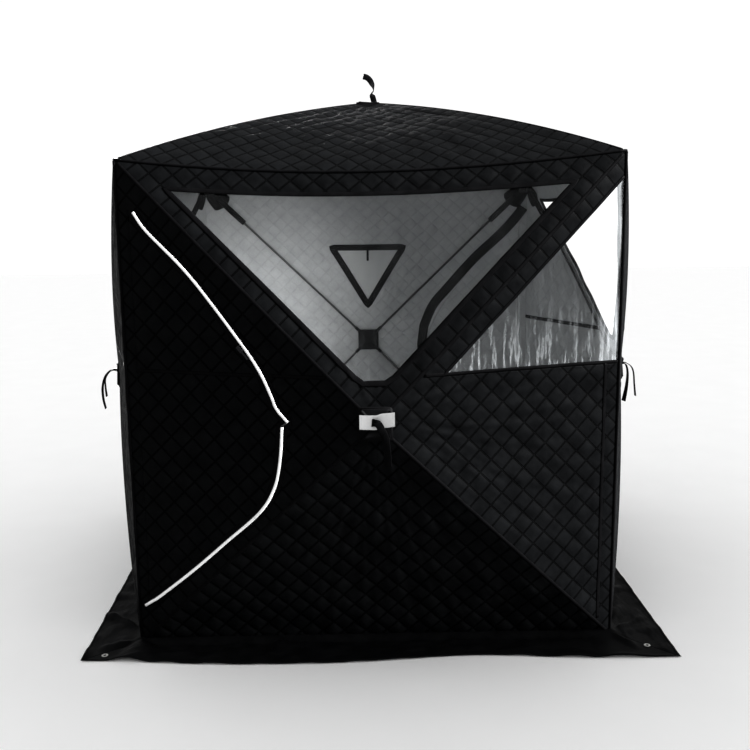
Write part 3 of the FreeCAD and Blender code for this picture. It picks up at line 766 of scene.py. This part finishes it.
DOOR_UP, DOOR_DOWN = door_path()
DOOR_EDGE = 0.046
DOOR = np.vstack([[(-0.735, DOOR_EDGE)], DOOR_UP, DOOR_DOWN, [(0.727, DOOR_EDGE - 0.001)]])
ZIP_FOOT = [(0.742, 0.024)]  # the piping runs on past the leaf, to the corner
ZIP_COVER = 0.012  # how far outside the zip its facing and flap run
BACK_FLAP = [(-0.765, 0.026), (-0.70, 0.074), (-0.62, 0.145), (-0.48, 0.290), (-0.32, 0.430),
             (-0.21, 0.520), (-0.09, 0.572)]
VENT_TOP, VENT_WIDE, VENT_TALL = 0.350, 0.390, 0.330
HOOD_OUTSIDE, HOOD_INSIDE = 0.0118, 0.0074  # the hood's two layers over the cloth


def vent(grow=0.0):
    wide, top = VENT_WIDE / 2 + grow * 1.9, VENT_TOP - grow
    return np.array([(-wide, top), (wide, top), (0.0, top + VENT_TALL + grow * 3.1)])


OUTLINES = {("front", "top"): top_window(), ("right", "top"): top_window(),
            ("front", "right"): side_window(), ("front", "left"): DOOR, ("back", "left"): DOOR,
            ("back", "top"): vent()}


def build_panels():
    """The twenty quilted panels, cut out where a window, door or vent is."""
    for face in FACES.values():
        for side in face.sides:
            outline = OUTLINES.get((face.name, side))
            piece = quilted(f"{face.name}_{side}_cloth", face, side, outline, outline is None)
            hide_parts(f"{face.name}_panel_{side}")
            fold(piece, face, side)


def build_doors():
    """The quilted leaf of each door."""
    for wall in ("front", "back"):
        face = FACES[wall]
        piece = quilted(f"{wall}_door_leaf", face, "left", DOOR)
        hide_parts(f"{wall}_door")
        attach(piece, f"{wall}_door_body")


# ---- windows
def pane(name, face, side, outline, node, material, billow):
    """Clear sheet, a little loose in its frame, with soft standing ripples."""
    spots, faces, _ = cut_sheet(COARSE, outline)
    at_face = face.in_face(side, *spots.T)
    a, b = at_face.T
    wave = ripples(a * 1.6, b * 0.35, face.seed + 3, 0.09, 0.30) * billow
    soft = ripples(a, b, face.seed + 5, 0.25, 0.6) * billow
    border = np.unique([v for edge in border_edges(faces) for v in edge])
    away = np.linalg.norm(spots[:, None] - spots[border][None], axis=-1).min(1)
    lift = (wave + soft) * smooth_step(away / 0.06) - CLOTH / 2
    piece = new_piece(name, face.place(at_face, lift), rings_of(faces), material,
                      flat_map=at_face)
    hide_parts(node)
    return fold(piece, face, side)


def framed(name, face, side, outline, width, closed=True):
    """Binding tape round an opening, outside and inside."""
    path = face.in_face(side, *straight(outline, closed=closed).T)
    for layer, inner in (("outside", False), ("inside", True)):
        sewn(f"{name}_{layer}", face, side, path, width / 2, 0.0022, 0.0005, closed=closed,
             inner=inner)


def build_windows():
    for wall in ("front", "right"):
        face = FACES[wall]
        pane(f"{wall}_top_pane", face, "top", top_window(0.006), f"{wall}_top_window", VINYL,
             0.0035)
        framed(f"{wall}_top_binding", face, "top", top_window(), 0.018)
    face = FACES["front"]
    pane("front_side_pane", face, "right", side_window(0.003), "front_side_window", SIDE_VINYL,
         0.0060)
    framed("front_side_binding", face, "right", np.roll(side_window(), -1, 0), 0.010, False)


# ---- door zips
def shifted(path, distance):
    """A path moved sideways on its panel."""
    ahead = tangents(path, False)
    return path + np.stack([-ahead[:, 1], ahead[:, 0]], -1) * distance


# What rides on a door's leaf: its distance from the zip line, half width, thickness and lift.
ON_LEAF = (("door_tape", -0.010, 0.009, 0.0016, 0.001, TAPE),
           ("zip_coil", -0.001, 0.003, 0.003, 0.001, ZIP_COIL))


def build_zips():
    """What is sewn along a door's zip on its panel and its leaf, and the tape at its hinge."""
    run = np.vstack([DOOR_UP, DOOR_DOWN])
    inner_run = run[run[:, 1] > FOLD_TO]
    for wall in ("front", "back"):
        face = FACES[wall]

        def on_panel(name, path, half_width, thick, lift, **kind):
            at = face.in_face("left", *path.T)
            sewn(f"{wall}_{name}", face, "left", at, half_width, thick, lift, **kind)

        on_panel("zip_tape", shifted(run, 0.011), 0.010, 0.0016, 0.002)
        for word, path in (("upper", DOOR_UP), ("lower", np.vstack([DOOR_DOWN, ZIP_FOOT]))):
            on_panel(f"{word}_piping", shifted(path, 0.003), 0.0052, 0.0070, 0.0035,
                     material=REFLECTIVE)
        cover = shifted(run, ZIP_COVER)
        if wall == "back":
            cover = np.vstack([curve_through(BACK_FLAP), shifted(DOOR_DOWN, ZIP_COVER)])
        on_panel("zip_facing", shifted(inner_run, ZIP_COVER), 0.022, 0.0010, 0.0,
                 material=LINING, inner=True)
        on_panel("zip_flap_inside", cover, 0.026, 0.003, 0.0015, inner=True)

        hinge = straight([(DOOR[end, 0], DOOR_EDGE - 0.014) for end in (0, -1)])
        tape = strip(f"{wall}_door_hinge_tape", face, face.in_face("left", *hinge.T), 0.020,
                     0.0012, -0.004)
        fold(tape, face, "left", (DOOR_EDGE - 0.034, DOOR_EDGE + 0.002))
        for name, aside, *sizes, material in ON_LEAF:
            path = face.in_face("left", *shifted(run, aside).T)
            piece = strip(f"{wall}_{name}", face, path, *sizes, material=material)
            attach(piece, f"{wall}_door_body")


# ---- seams
def build_seams():
    """Taped seams over the poles and round the middle of the walls."""
    for face in FACES.values():
        for side in face.sides[2:]:
            toward = sign_of(side)
            for turn, word in UPPER_LOWER:
                ends = [(toward * d, turn * d) for d in (HALF - SEAM_ENDS, 0.045)]
                sewn(f"{face.name}_{side}_{word}_pole_seam", face, side, straight(ends),
                     0.007, 0.0016, 0.0008)
    for face in WALLS:
        for side in face.sides[2:]:
            for line, word in zip(seam_lines(face, side), ("level", "upright")):
                build_seam(face, side, line, word)


def build_seam(face, side, line, word):
    """A seam strip, in two parts where it crosses a door."""
    parts = [(line, "", False)]
    if (face.name, side) in DOOR_PANELS:
        (along, start), (_, stop) = line
        gap = door_depth(along)
        parts = [([(along, start + 0.03), (along, gap - 0.022)], "_door", True),
                 ([(along, gap + 0.030), (along, stop)], "", False)]
    for run, ending, on_door in parts:
        path = face.in_face(side, *straight(run).T)
        name = f"{face.name}_{side}_{word}_seam{ending}"
        pieces = [strip(name, face, path, 0.006, 0.0014, 0.0006)]
        if word == "level" and face.name == "right":
            pieces.append(strip(f"{name}_inside", face, path, 0.009, 0.0020, 0.0005, inner=True))
        for seam in pieces:
            if on_door:
                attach(seam, f"{face.name}_door_body")
            else:
                fold(seam, face, side)


def door_depth(along):
    """How far in from the corner the door's zip is at one height."""
    order = np.argsort(DOOR_UP[:, 0])
    return float(np.interp(along, DOOR_UP[order, 0], DOOR_UP[order, 1]))


def edge_lines():
    """The cube's twelve edges as they hang: sagging eaves, upright corners, straight foot."""
    lines = []
    span = np.linspace(-HALF + 0.004, HALF - 0.004, 80)
    for face in WALLS:
        lines.append(face.place(np.stack([span, np.full(80, HALF)], -1)))
        lines.append(face.place(np.stack([np.full(80, HALF), span], -1)))
        foot = face.place(np.stack([span, np.full(80, -HALF)], -1))
        lines.append(foot + np.array([0, 0, PIPING / 2]))
    return lines


def build_edges():
    """The bound seams of the cube's edges, as one piece."""
    parts = [tube("edge", line, PIPING * 0.62, BLACK_CLOTH) for line in edge_lines()]
    joined = merge(parts, "edge_binding")
    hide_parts("seam_piping")
    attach(joined, "root")


def merge(pieces, name):
    """Several new pieces as one object with one mesh, in the first one's material."""
    parts = []
    for piece in pieces:
        points = np.array([v.co for v in piece.data.vertices])
        parts.append((points, [tuple(p.vertices) for p in piece.data.polygons]))
    material = pieces[0].data.materials[0]
    for piece in pieces:
        bpy.data.objects.remove(piece)
    points, faces = join_parts(parts)
    return new_piece(name, points, faces, material)


# ---- vent
def build_vent():
    """Netting in the vent with its binding, the prop inside and the hood outside."""
    face = FACES["back"]
    spots, faces, _ = cut_sheet(COARSE, vent(0.004))
    at_face = face.in_face("top", *spots.T)
    net = new_piece("vent_netting", face.place(at_face, -CLOTH), rings_of(faces), NETTING,
                    flat_map=at_face)
    fold(net, face, "top")
    framed("vent_binding", face, "top", vent(0.005), 0.036)
    build_hood(face)
    post = face.in_face("top", *straight([(0.0, VENT_TOP + 0.004), (0.0, VENT_TOP + 0.075)]).T)
    sewn("vent_prop", face, "top", post, 0.006, 0.004, 0.001, inner=True)


def build_hood(face):
    """Stiffened flap over the vent, hinged along its top edge and bowed out in the middle."""
    outline = vent(0.022)
    spots, faces, _ = cut_sheet(COARSE, outline)
    across = spots[:, 0] / (VENT_WIDE / 2 + 0.04)
    down = (spots[:, 1] - outline[0, 1]) / (VENT_TALL + 0.09)
    belly = 0.010 * (1 - np.clip(across ** 2 + (down - 0.4) ** 2 * 2, 0, 1))
    at_face = face.in_face("top", *spots.T)
    layers = [face.place(at_face, lift + belly) for lift in (HOOD_OUTSIDE, HOOD_INSIDE)]
    hood = layered("vent_hood_flap", *layers, faces, [SKIRT, LINING], spots)
    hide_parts("vent_hood")
    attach(hood, "vent_hood_body")
    hem = strip("vent_hood_hem", face, face.in_face("top", *straight(vent(0.016), closed=True).T),
                0.007, 0.0015, 0.0125, closed=True)
    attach(hem, "vent_hood_body")


# ---- poles, hubs and boots
DIAGONAL = HALF * math.sqrt(2)  # from a corner of a face to its hub
SLEEVE = (0.100, 0.290)  # where a sleeve runs, from the corner
FERRULE = (DIAGONAL - 0.105, DIAGONAL - 0.046)
SLEEVE_RADIUS, FERRULE_RADIUS = 0.0155, 0.0085


def pole_line(face, side, turn, start, stop):
    """Centre line of a pole between two distances from its corner, along the diagonal."""
    t = np.linspace(start, stop, 24) / DIAGONAL
    flat = HALF * (1 - t)
    stand = face.rise * t + 4 * face.bow * t * (1 - t) - POLE_DEPTH
    diagonal = sign_of(side) * face.right + turn * face.up
    return (face.centre + np.multiply.outer(flat, diagonal)
            + np.multiply.outer(stand, face.out))


def build_fittings():
    """Thick sleeves that hold each pole's corner end, and the ferrule at its hub end."""
    for face in FACES.values():
        for side in face.sides[2:]:
            parts = []
            for turn, _ in UPPER_LOWER:
                line = pole_line(face, side, turn, *SLEEVE)
                taper = SLEEVE_RADIUS * (0.84 + 0.16 * np.sin(np.linspace(0.5, 2.6, len(line))))
                parts.append(tube("sleeve", line, taper, BLACK_CLOTH, 14))
                line = pole_line(face, side, turn, *FERRULE)
                parts.append(tube("ferrule", line, FERRULE_RADIUS, BLACK_CLOTH, 14))
            piece = merge(parts, f"{face.name}_{side}_pole_fittings")
            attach(piece, face.body(side))
            build_gussets(face, side)


def build_gussets(face, side):
    """Black patches that strengthen the lining in a face's corners."""
    toward = sign_of(side)
    for turn, word in UPPER_LOWER:
        share = np.linspace(0, 1, 16)
        along = HALF - 0.014 - 0.095 * share
        path = np.stack([toward * along, turn * along], -1)
        widths = 0.010 + 0.048 * np.sqrt(np.sin(math.pi * np.clip(share * 0.55, 0, 0.5)))
        widths[-3:] *= (0.92, 0.7, 0.25)
        sewn(f"{face.name}_{side}_{word}_gusset", face, side, path, widths, 0.0022, 0.0006,
             material=BLACK_CLOTH, inner=True)


def rounded_square(half, corner, count):
    """Outline of a square with round corners, anticlockwise."""
    points = []
    for quarter in range(4):
        middle = np.array([(1, 1), (-1, 1), (-1, -1), (1, -1)][quarter]) * (half - corner)
        for angle in np.linspace(0, math.pi / 2, count) + quarter * math.pi / 2:
            points.append(middle + corner * np.array([math.cos(angle), math.sin(angle)]))
    return np.array(points)


def pad_on_hub(face, name, half, low, high, crown, material, uneven=0.0):
    """Square pad centred on a hub, its face crowned and its edge rounded over."""
    rings, points = 9, []
    outline = rounded_square(half, half * 0.22, 9)
    scale = [(0.985, low), (1.0, low * 0.55 + high * 0.45), (0.99, high * 0.85 + low * 0.15)]
    scale += [(s, high + crown * (1 - s * s)) for s in np.linspace(0.95, 0.06, rings)]
    for share, height in scale:
        for x, y in outline * share:
            wrinkle = float(ripples(np.array(x), np.array(y), face.seed, 0.02, 0.07))
            spoke = math.atan2(y, x)
            wrinkle += 1.6 * share * math.sin(17 * spoke + 2 * math.sin(5 * spoke))
            outward = 1 if high > low else -1
            stand = face.rise + height + uneven * wrinkle * outward * (share < 0.97)
            points.append(face.centre + face.right * x + face.up * y + face.out * stand)
    faces = tube_faces(len(scale), len(outline), False)
    if high < low:
        faces = [f[::-1] for f in faces]
    return new_piece(name, points, faces, material)


def quarters(whole, face, word):
    """Cut a piece across the face's diagonals, so each part goes with the panel it is sewn on."""
    parts = []
    for side in face.sides:
        name = f"{face.name}_{side}_{word}"
        shape = bmesh.new()
        shape.from_mesh(whole.data)
        for turn in (1, -1):
            bmesh.ops.bisect_plane(
                shape, geom=list(shape.verts) + list(shape.edges) + list(shape.faces),
                plane_co=face.centre, plane_no=turn * face.across(side) - face.inward(side),
                clear_inner=True)
            rim = [edge for edge in shape.edges if edge.is_boundary]
            bmesh.ops.holes_fill(shape, edges=rim)
            for edge in rim:
                edge.smooth = False
        mesh = bpy.data.meshes.new(name)
        shape.to_mesh(mesh)
        shape.free()
        mesh.materials.append(whole.data.materials[0])
        part = bpy.data.objects.new(name, mesh)
        bpy.context.scene.collection.objects.link(part)
        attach(part, face.body(side))
        parts.append(part)
    bpy.data.objects.remove(whole)
    return parts


def strap_line(face, points, side_ways):
    """A strap's line and width directions; its points go right, out (roof: back) and up."""
    base = face.centre + face.out * face.rise
    turn = np.stack([face.right, face.out, face.up])
    if face.roof:
        turn = np.stack([face.right, face.up, face.out])
    line = base + curve_through(points, 0.004) @ turn
    ways = curve_through(side_ways, 10.0)
    spread = np.linspace(0, len(ways) - 1, len(line))
    ways = np.stack([np.interp(spread, np.arange(len(ways)), ways[:, k]) for k in range(3)], -1)
    return line, ways @ turn


PATCH_HALF, COVER_HALF = 0.0525, 0.060  # half sides of the hub patch and the cover inside
STRAP_WIDE, STRAP_THICK = 0.025, 0.0030
LABEL_WIDE, LABEL_TALL = 0.120, 0.050
STRAPS = {  # each ribbon's points and the directions of its width along them
    "front": [([(-0.012, 0.004, 0.006), (-0.009, 0.020, 0.012), (0.002, 0.030, 0.012),
                (0.012, 0.022, 0.006), (0.015, 0.006, 0.002)],
               [(0.1, 0.1, 1), (0.1, 0.1, 1)]),
              ([(0.008, 0.000, 0.004), (0.007, 0.026, 0.012), (0.010, 0.048, 0.012),
                (0.020, 0.062, -0.006), (0.031, 0.066, -0.032), (0.037, 0.064, -0.080),
                (0.040, 0.058, -0.132)],
               [(1, 0, 0.1), (1, 0, 0.2), (1, 0.3, 0.3), (1, 0.2, 0.1)])],
    "left": [([(0.0, 0.000, 0.012), (0.0, 0.024, 0.020), (0.002, 0.046, 0.013),
               (0.004, 0.070, -0.016), (0.004, 0.084, -0.066), (0.000, 0.085, -0.122),
               (-0.002, 0.077, -0.168)], [(1, 0, 0), (1, 0.1, 0), (1, 0, 0.1)]),
             ([(0.004, 0.000, 0.008), (0.004, 0.024, 0.016), (0.004, 0.048, 0.006),
               (0.006, 0.068, -0.026), (0.008, 0.069, -0.066), (0.008, 0.066, -0.108)],
              [(1, 0, 0), (1, -0.1, 0), (1, 0, -0.1)])],
    "right": [([(0.0, 0.000, 0.020), (0.0, 0.026, 0.018), (0.002, 0.054, 0.000),
                (0.004, 0.068, -0.030), (0.004, 0.074, -0.085), (0.002, 0.080, -0.142)],
               [(1, 0, 0), (1, 0.1, 0), (1, 0, 0.1)]),
              ([(0.0, 0.000, 0.014), (0.002, 0.028, 0.010), (0.004, 0.040, -0.030),
                (0.006, 0.038, -0.095), (0.008, 0.027, -0.168)],
               [(1, 0, 0), (1, -0.05, 0), (1, -0.25, 0), (1, -0.55, 0)])],
    "roof": [([(0.031, 0.0, -0.006), (0.025, 0.002, 0.020), (0.0185, 0.004, 0.045),
               (0.0260, 0.003, 0.056), (0.0225, 0.002, 0.078), (0.012, 0.000, 0.099),
               (-0.002, -0.002, 0.112), (-0.019, -0.004, 0.117)],
              [(1, 0, 0.3), (1, 0, 0.3), (1, 0, 0.3), (0.1, 1, 0.1), (0.1, 1, 0.1),
               (0.5, 0.5, 0.6), (0.4, 0.1, 0.9), (0.1, 0, 1), (0.0, 0, 1)])],
}
STRAPS["back"] = STRAPS["right"]


def build_hubs():
    """Each hub's patch and pull strap outside, and its cloth cover inside."""
    for face in FACES.values():
        patch = pad_on_hub(face, f"{face.name}_patch", PATCH_HALF, -0.014, -0.001, 0.003, PATCH,
                           0.0026)
        for part in quarters(patch, face, "patch"):
            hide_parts(f"{face.name}_hub_patch")
        cover = pad_on_hub(face, f"{face.name}_inner_cover", COVER_HALF, -0.008, -0.036, -0.004,
                           PATCH, 0.0010)
        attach(cover, face.hub())
        parts = []
        for points, ways in STRAPS[face.name]:
            parts.append(ribbon(*strap_line(face, points, ways), STRAP_WIDE, STRAP_THICK))
        strap = new_piece(f"{face.name}_strap", *join_parts(parts), WEBBING)
        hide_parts(f"{face.name}_pull_strap")
        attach(strap, face.hub())


def build_label():
    """Plain silvery label sewn over the front hub, bent slightly where the strap leaves it."""
    face = FACES["front"]
    across, tall, points, faces = 25, 9, [], []
    for layer in (0.0035, 0.0022):
        for row in np.linspace(0, 1, tall):
            for x in np.linspace(-1, 1, across):
                kink = 0.0050 * smooth_step((x + 0.1) / 0.4) + 0.0030 * max(x, 0)
                y = (row - 0.5) * LABEL_TALL + kink + 0.0095
                bulge = 0.004 * (1 - x * x) + layer - 0.004 * abs(x) ** 3
                points.append(face.centre + face.right * (x * LABEL_WIDE / 2 + 0.0055) + face.up * y
                              + face.out * (face.rise + bulge + 0.001))
    for row in range(tall - 1):
        for a in range(row * across, (row + 1) * across - 1):
            faces.append((a, a + 1, a + across + 1, a + across))
    label = layered("whole_label", *np.split(np.array(points), 2), faces, [LABEL])
    quarters(label, face, "plain_label")


# ---- snow skirt
# Where a flap's hem strays from its even width: place along the wall from -1 to 1, how much
# of the wall that takes, and how far the hem is drawn in there, or pushed out if below zero.
HEM_STRAYS = {
    "front": [(-1.00, 0.35, 0.052), (0.32, 0.28, 0.040)],
    "right": [(-0.20, 0.80, -0.009)],
    "back": [(0.10, 0.60, 0.018)],
    "left": [(0.00, 0.45, -0.026), (1.00, 0.25, 0.012)],
}
# How far each flap's two end corners run on past the wall: the front left corner was pulled
# back when the skirt was laid out.
HEM_ENDS = {"front": (0.188, 0.206), "right": (0.200, 0.200), "back": (0.200, 0.206),
            "left": (0.200, 0.145)}
EYELET_AT = 1.010  # the eyelets' distance from the middle, both ways
SKIRT_FOOT = 0.020  # height at which the skirt is sewn to the wall
SKIRT_THICK = 0.0016
FOLDS = {  # ridge start, ridge end, height and half width
    "front": [((-0.900, 0.015), (-0.870, 0.180), 0.026, 0.085),
              ((0.905, 0.020), (0.985, 0.140), 0.010, 0.022),
              ((0.30, 0.030), (0.22, 0.165), 0.007, 0.030),
              ((-0.35, 0.020), (-0.42, 0.190), 0.008, 0.040)],
    "left": [((0.775, 0.055), (0.655, 0.195), 0.016, 0.020),
             ((0.900, 0.020), (0.965, 0.150), 0.010, 0.030),
             ((0.300, 0.040), (0.360, 0.200), 0.010, 0.040)],
    "right": [((-0.880, 0.030), (-0.760, 0.180), 0.010, 0.022),
              ((-0.840, 0.025), (-0.640, 0.120), 0.008, 0.018),
              ((-0.600, 0.030), (-0.450, 0.190), 0.010, 0.030),
              ((0.350, 0.040), (0.250, 0.190), 0.009, 0.040)],
    "back": [((-0.500, 0.030), (-0.560, 0.180), 0.009, 0.040),
             ((0.450, 0.030), (0.380, 0.185), 0.010, 0.035)],
}


def ridge(side, far, fold_line):
    """Height that one fold adds to a flap: rounded across, tapered to both ends."""
    (x1, y1), (x2, y2), height, half_width = fold_line
    length = math.hypot(x2 - x1, y2 - y1)
    ax, ay = (x2 - x1) / length, (y2 - y1) / length
    along = ((side - x1) * ax + (far - y1) * ay) / length
    spread = half_width * (0.35 + 0.65 * np.clip(along, 0, 1))
    across = ((side - x1) * -ay + (far - y1) * ax) / spread
    ends = smooth_step((along + 0.15) / 0.35) * smooth_step((1.02 - along) / 0.30)
    return height * ends * np.exp(-across ** 2)


def flap_shape(face, x, d):
    """Where a flap's cloth lies: along the wall, out from it, and its height over the ice."""
    hem = np.full(x.shape, SKIRT_EDGE - HALF)
    for place, share, drawn_in in HEM_STRAYS[face.name]:
        hem -= drawn_in * np.exp(-((x - place) / share) ** 2)
    run_on = np.where(x < 0, *HEM_ENDS[face.name])
    far = d * hem
    side = x * (HALF + d * run_on)
    ruck = ripples(side, far * 1.4, face.seed + 23, 0.09, 0.30) * 0.0040
    ruck += ripples(side * 0.5, far * 2.0, face.seed + 29, 0.03, 0.09) * 0.0012
    for fold_line in FOLDS[face.name]:
        ruck = ruck + ridge(side, far, fold_line)
    pinned = np.hypot(abs(side) - EYELET_AT, far - (EYELET_AT - HALF))
    free = rising(pinned, 0.020, 0.050)
    lying = smooth_step(far / 0.045)
    mitre = smooth_step((1 - abs(x)) / 0.02)
    height = (SKIRT_FOOT * (1 - lying) + np.maximum(ruck + 0.0010, 0) * free * lying * mitre
              + 0.003 * smooth_step((d - 0.85) / 0.15) * free)
    return side, far, height


def build_skirt():
    """Four mitred flaps that lie on the ice, rucked and folded, rising to the wall's foot."""
    across, out = 300, 34
    corners = np.arange((across + 1) * (out + 1)).reshape(across + 1, out + 1)
    top = np.stack([corners[:-1, :-1], corners[:-1, 1:], corners[1:, 1:], corners[1:, :-1]],
                   -1).reshape(-1, 4)
    x = np.linspace(-1, 1, across + 1)[:, None] * np.ones(out + 1)
    d = np.linspace(0, 1, out + 1)[None, :] * np.ones((across + 1, 1))
    for face in WALLS:
        side, far, height = flap_shape(face, x, d)
        at = (face.centre + np.multiply.outer(side, face.right)
              + np.multiply.outer(far, face.out))
        at[..., 2] = height + 0.0024
        under = at.copy()
        under[..., 2] -= SKIRT_THICK
        piece = layered(f"{face.name}_skirt_flap", at.reshape(-1, 3), under.reshape(-1, 3), top,
                        [SKIRT], np.stack([side, far], -1).reshape(-1, 2))
        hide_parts(f"{face.name}_skirt")
        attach(piece, "root")
        hem_at = at[:, -2] + np.array([0, 0, 0.0004])
        hem_piece = tube(f"{face.name}_skirt_hem", hem_at, 0.0022, SKIRT, 6)
        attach(hem_piece, "root")


# ---- CAD nodes that stay
def finish_nodes():
    """Materials of the poles, hubs, boots, eyelets and sliders, whose shapes are the CAD's."""
    for name, node in frame["nodes"].items():
        for key, material in (("poles", ROD), ("_hub", NYLON), ("boots", NYLON),
                              ("grommets", EYELET), ("slider", ZIP_METAL)):
            if key in name:
                for k in range(len(node.data.materials)):
                    node.material_slots[k].material = material
                break


# ---- studio
CONTRAST = 0.80  # gamma of the view, which darkens the middle tones
SKY = 1.04  # strength of the white world
SUN_WIDTH = 14  # degrees
SUNS = {"key": ((0.85, -0.20, 0.52), 30.0), "back": ((-0.30, 0.90, 0.32), 20.0)}


def build_studio():
    """Pale floor, white world, two suns that leave floor, skirt and label out, a cabin lamp."""
    scene = bpy.context.scene
    bpy.ops.mesh.primitive_plane_add(size=60, location=(0, 0, -0.0005))
    floor = bpy.context.object
    floor.name = "studio_floor"
    pale = Shader("studio_floor", Roughness=0.9, Specular_IOR_Level=0.1)
    grain = pale.noise(pale.coordinates(), 3.0)
    floor.data.materials.append(pale.use(Base_Color=pale.ramp(grain, [(0, 0.93), (1, 0.97)])))
    world = bpy.data.worlds.new("studio")
    scene.world = world
    world.use_nodes = True
    world.node_tree.nodes["Background"].inputs["Color"].default_value = (1, 1, 1, 1)
    world.node_tree.nodes["Background"].inputs["Strength"].default_value = SKY
    flat = [piece for piece in bpy.data.objects
            if "skirt_" in piece.name or piece.name.endswith("_label")]
    for name, (toward, strength) in SUNS.items():
        spare(sun(name, toward, SUN_WIDTH, strength), f"spared_by_{name}", [floor, *flat])
    lamp("cabin", (0.15, -0.45, 1.15), (-0.74, 1.05, 1.10), 0.5, 3.0, 56)
    scene.view_settings.view_transform = "Standard"
    scene.view_settings.gamma = CONTRAST


def lamp(name, place, target, size, power, spread):
    light = bpy.data.lights.new(name, "AREA")
    light.energy, light.size, light.spread = power, size, math.radians(spread)
    aim(light, place, Vector(target) - Vector(place))


def sun(name, toward, angle, strength):
    light = bpy.data.lights.new(name, "SUN")
    light.energy, light.angle = strength, math.radians(angle)
    return aim(light, (0, 0, 4), -Vector(toward))


def spare(light, name, pieces):
    """Keeps one light off some pieces, which it would make too bright."""
    spared = bpy.data.collections.new(name)
    for piece in pieces:
        spared.objects.link(piece)
    light.light_linking.receiver_collection = spared
    for link in spared.collection_objects:
        link.light_linking.link_state = "EXCLUDE"


def aim(light, place, direction):
    holder = bpy.data.objects.new(light.name, light)
    bpy.context.scene.collection.objects.link(holder)
    holder.location = place
    holder.rotation_euler = direction.to_track_quat("-Z", "Y").to_euler()
    return holder


CAMERA_AT, LENS = (-0.045, -4.025, 1.546), 41.6
HEADING, DIP, ROLL = -0.907, 9.47, -0.642  # degrees; DIP is below the horizon


def build_camera():
    data = bpy.data.cameras.new("camera")
    camera = bpy.data.objects.new("camera", data)
    bpy.context.scene.collection.objects.link(camera)
    bpy.context.scene.camera = camera
    data.sensor_width, data.lens = 36.0, LENS
    heading = Matrix.Rotation(math.radians(HEADING), 4, "Z")
    tilt = Matrix.Rotation(math.radians(90 - DIP), 4, "X")
    roll = Matrix.Rotation(math.radians(ROLL), 4, "Z")
    camera.matrix_world = Matrix.Translation(CAMERA_AT) @ heading @ tilt @ roll


build_camera()
build_panels()
build_doors()
build_windows()
build_zips()
build_seams()
build_edges()
build_vent()
build_fittings()
build_hubs()
build_label()
build_skirt()
finish_nodes()
build_studio()
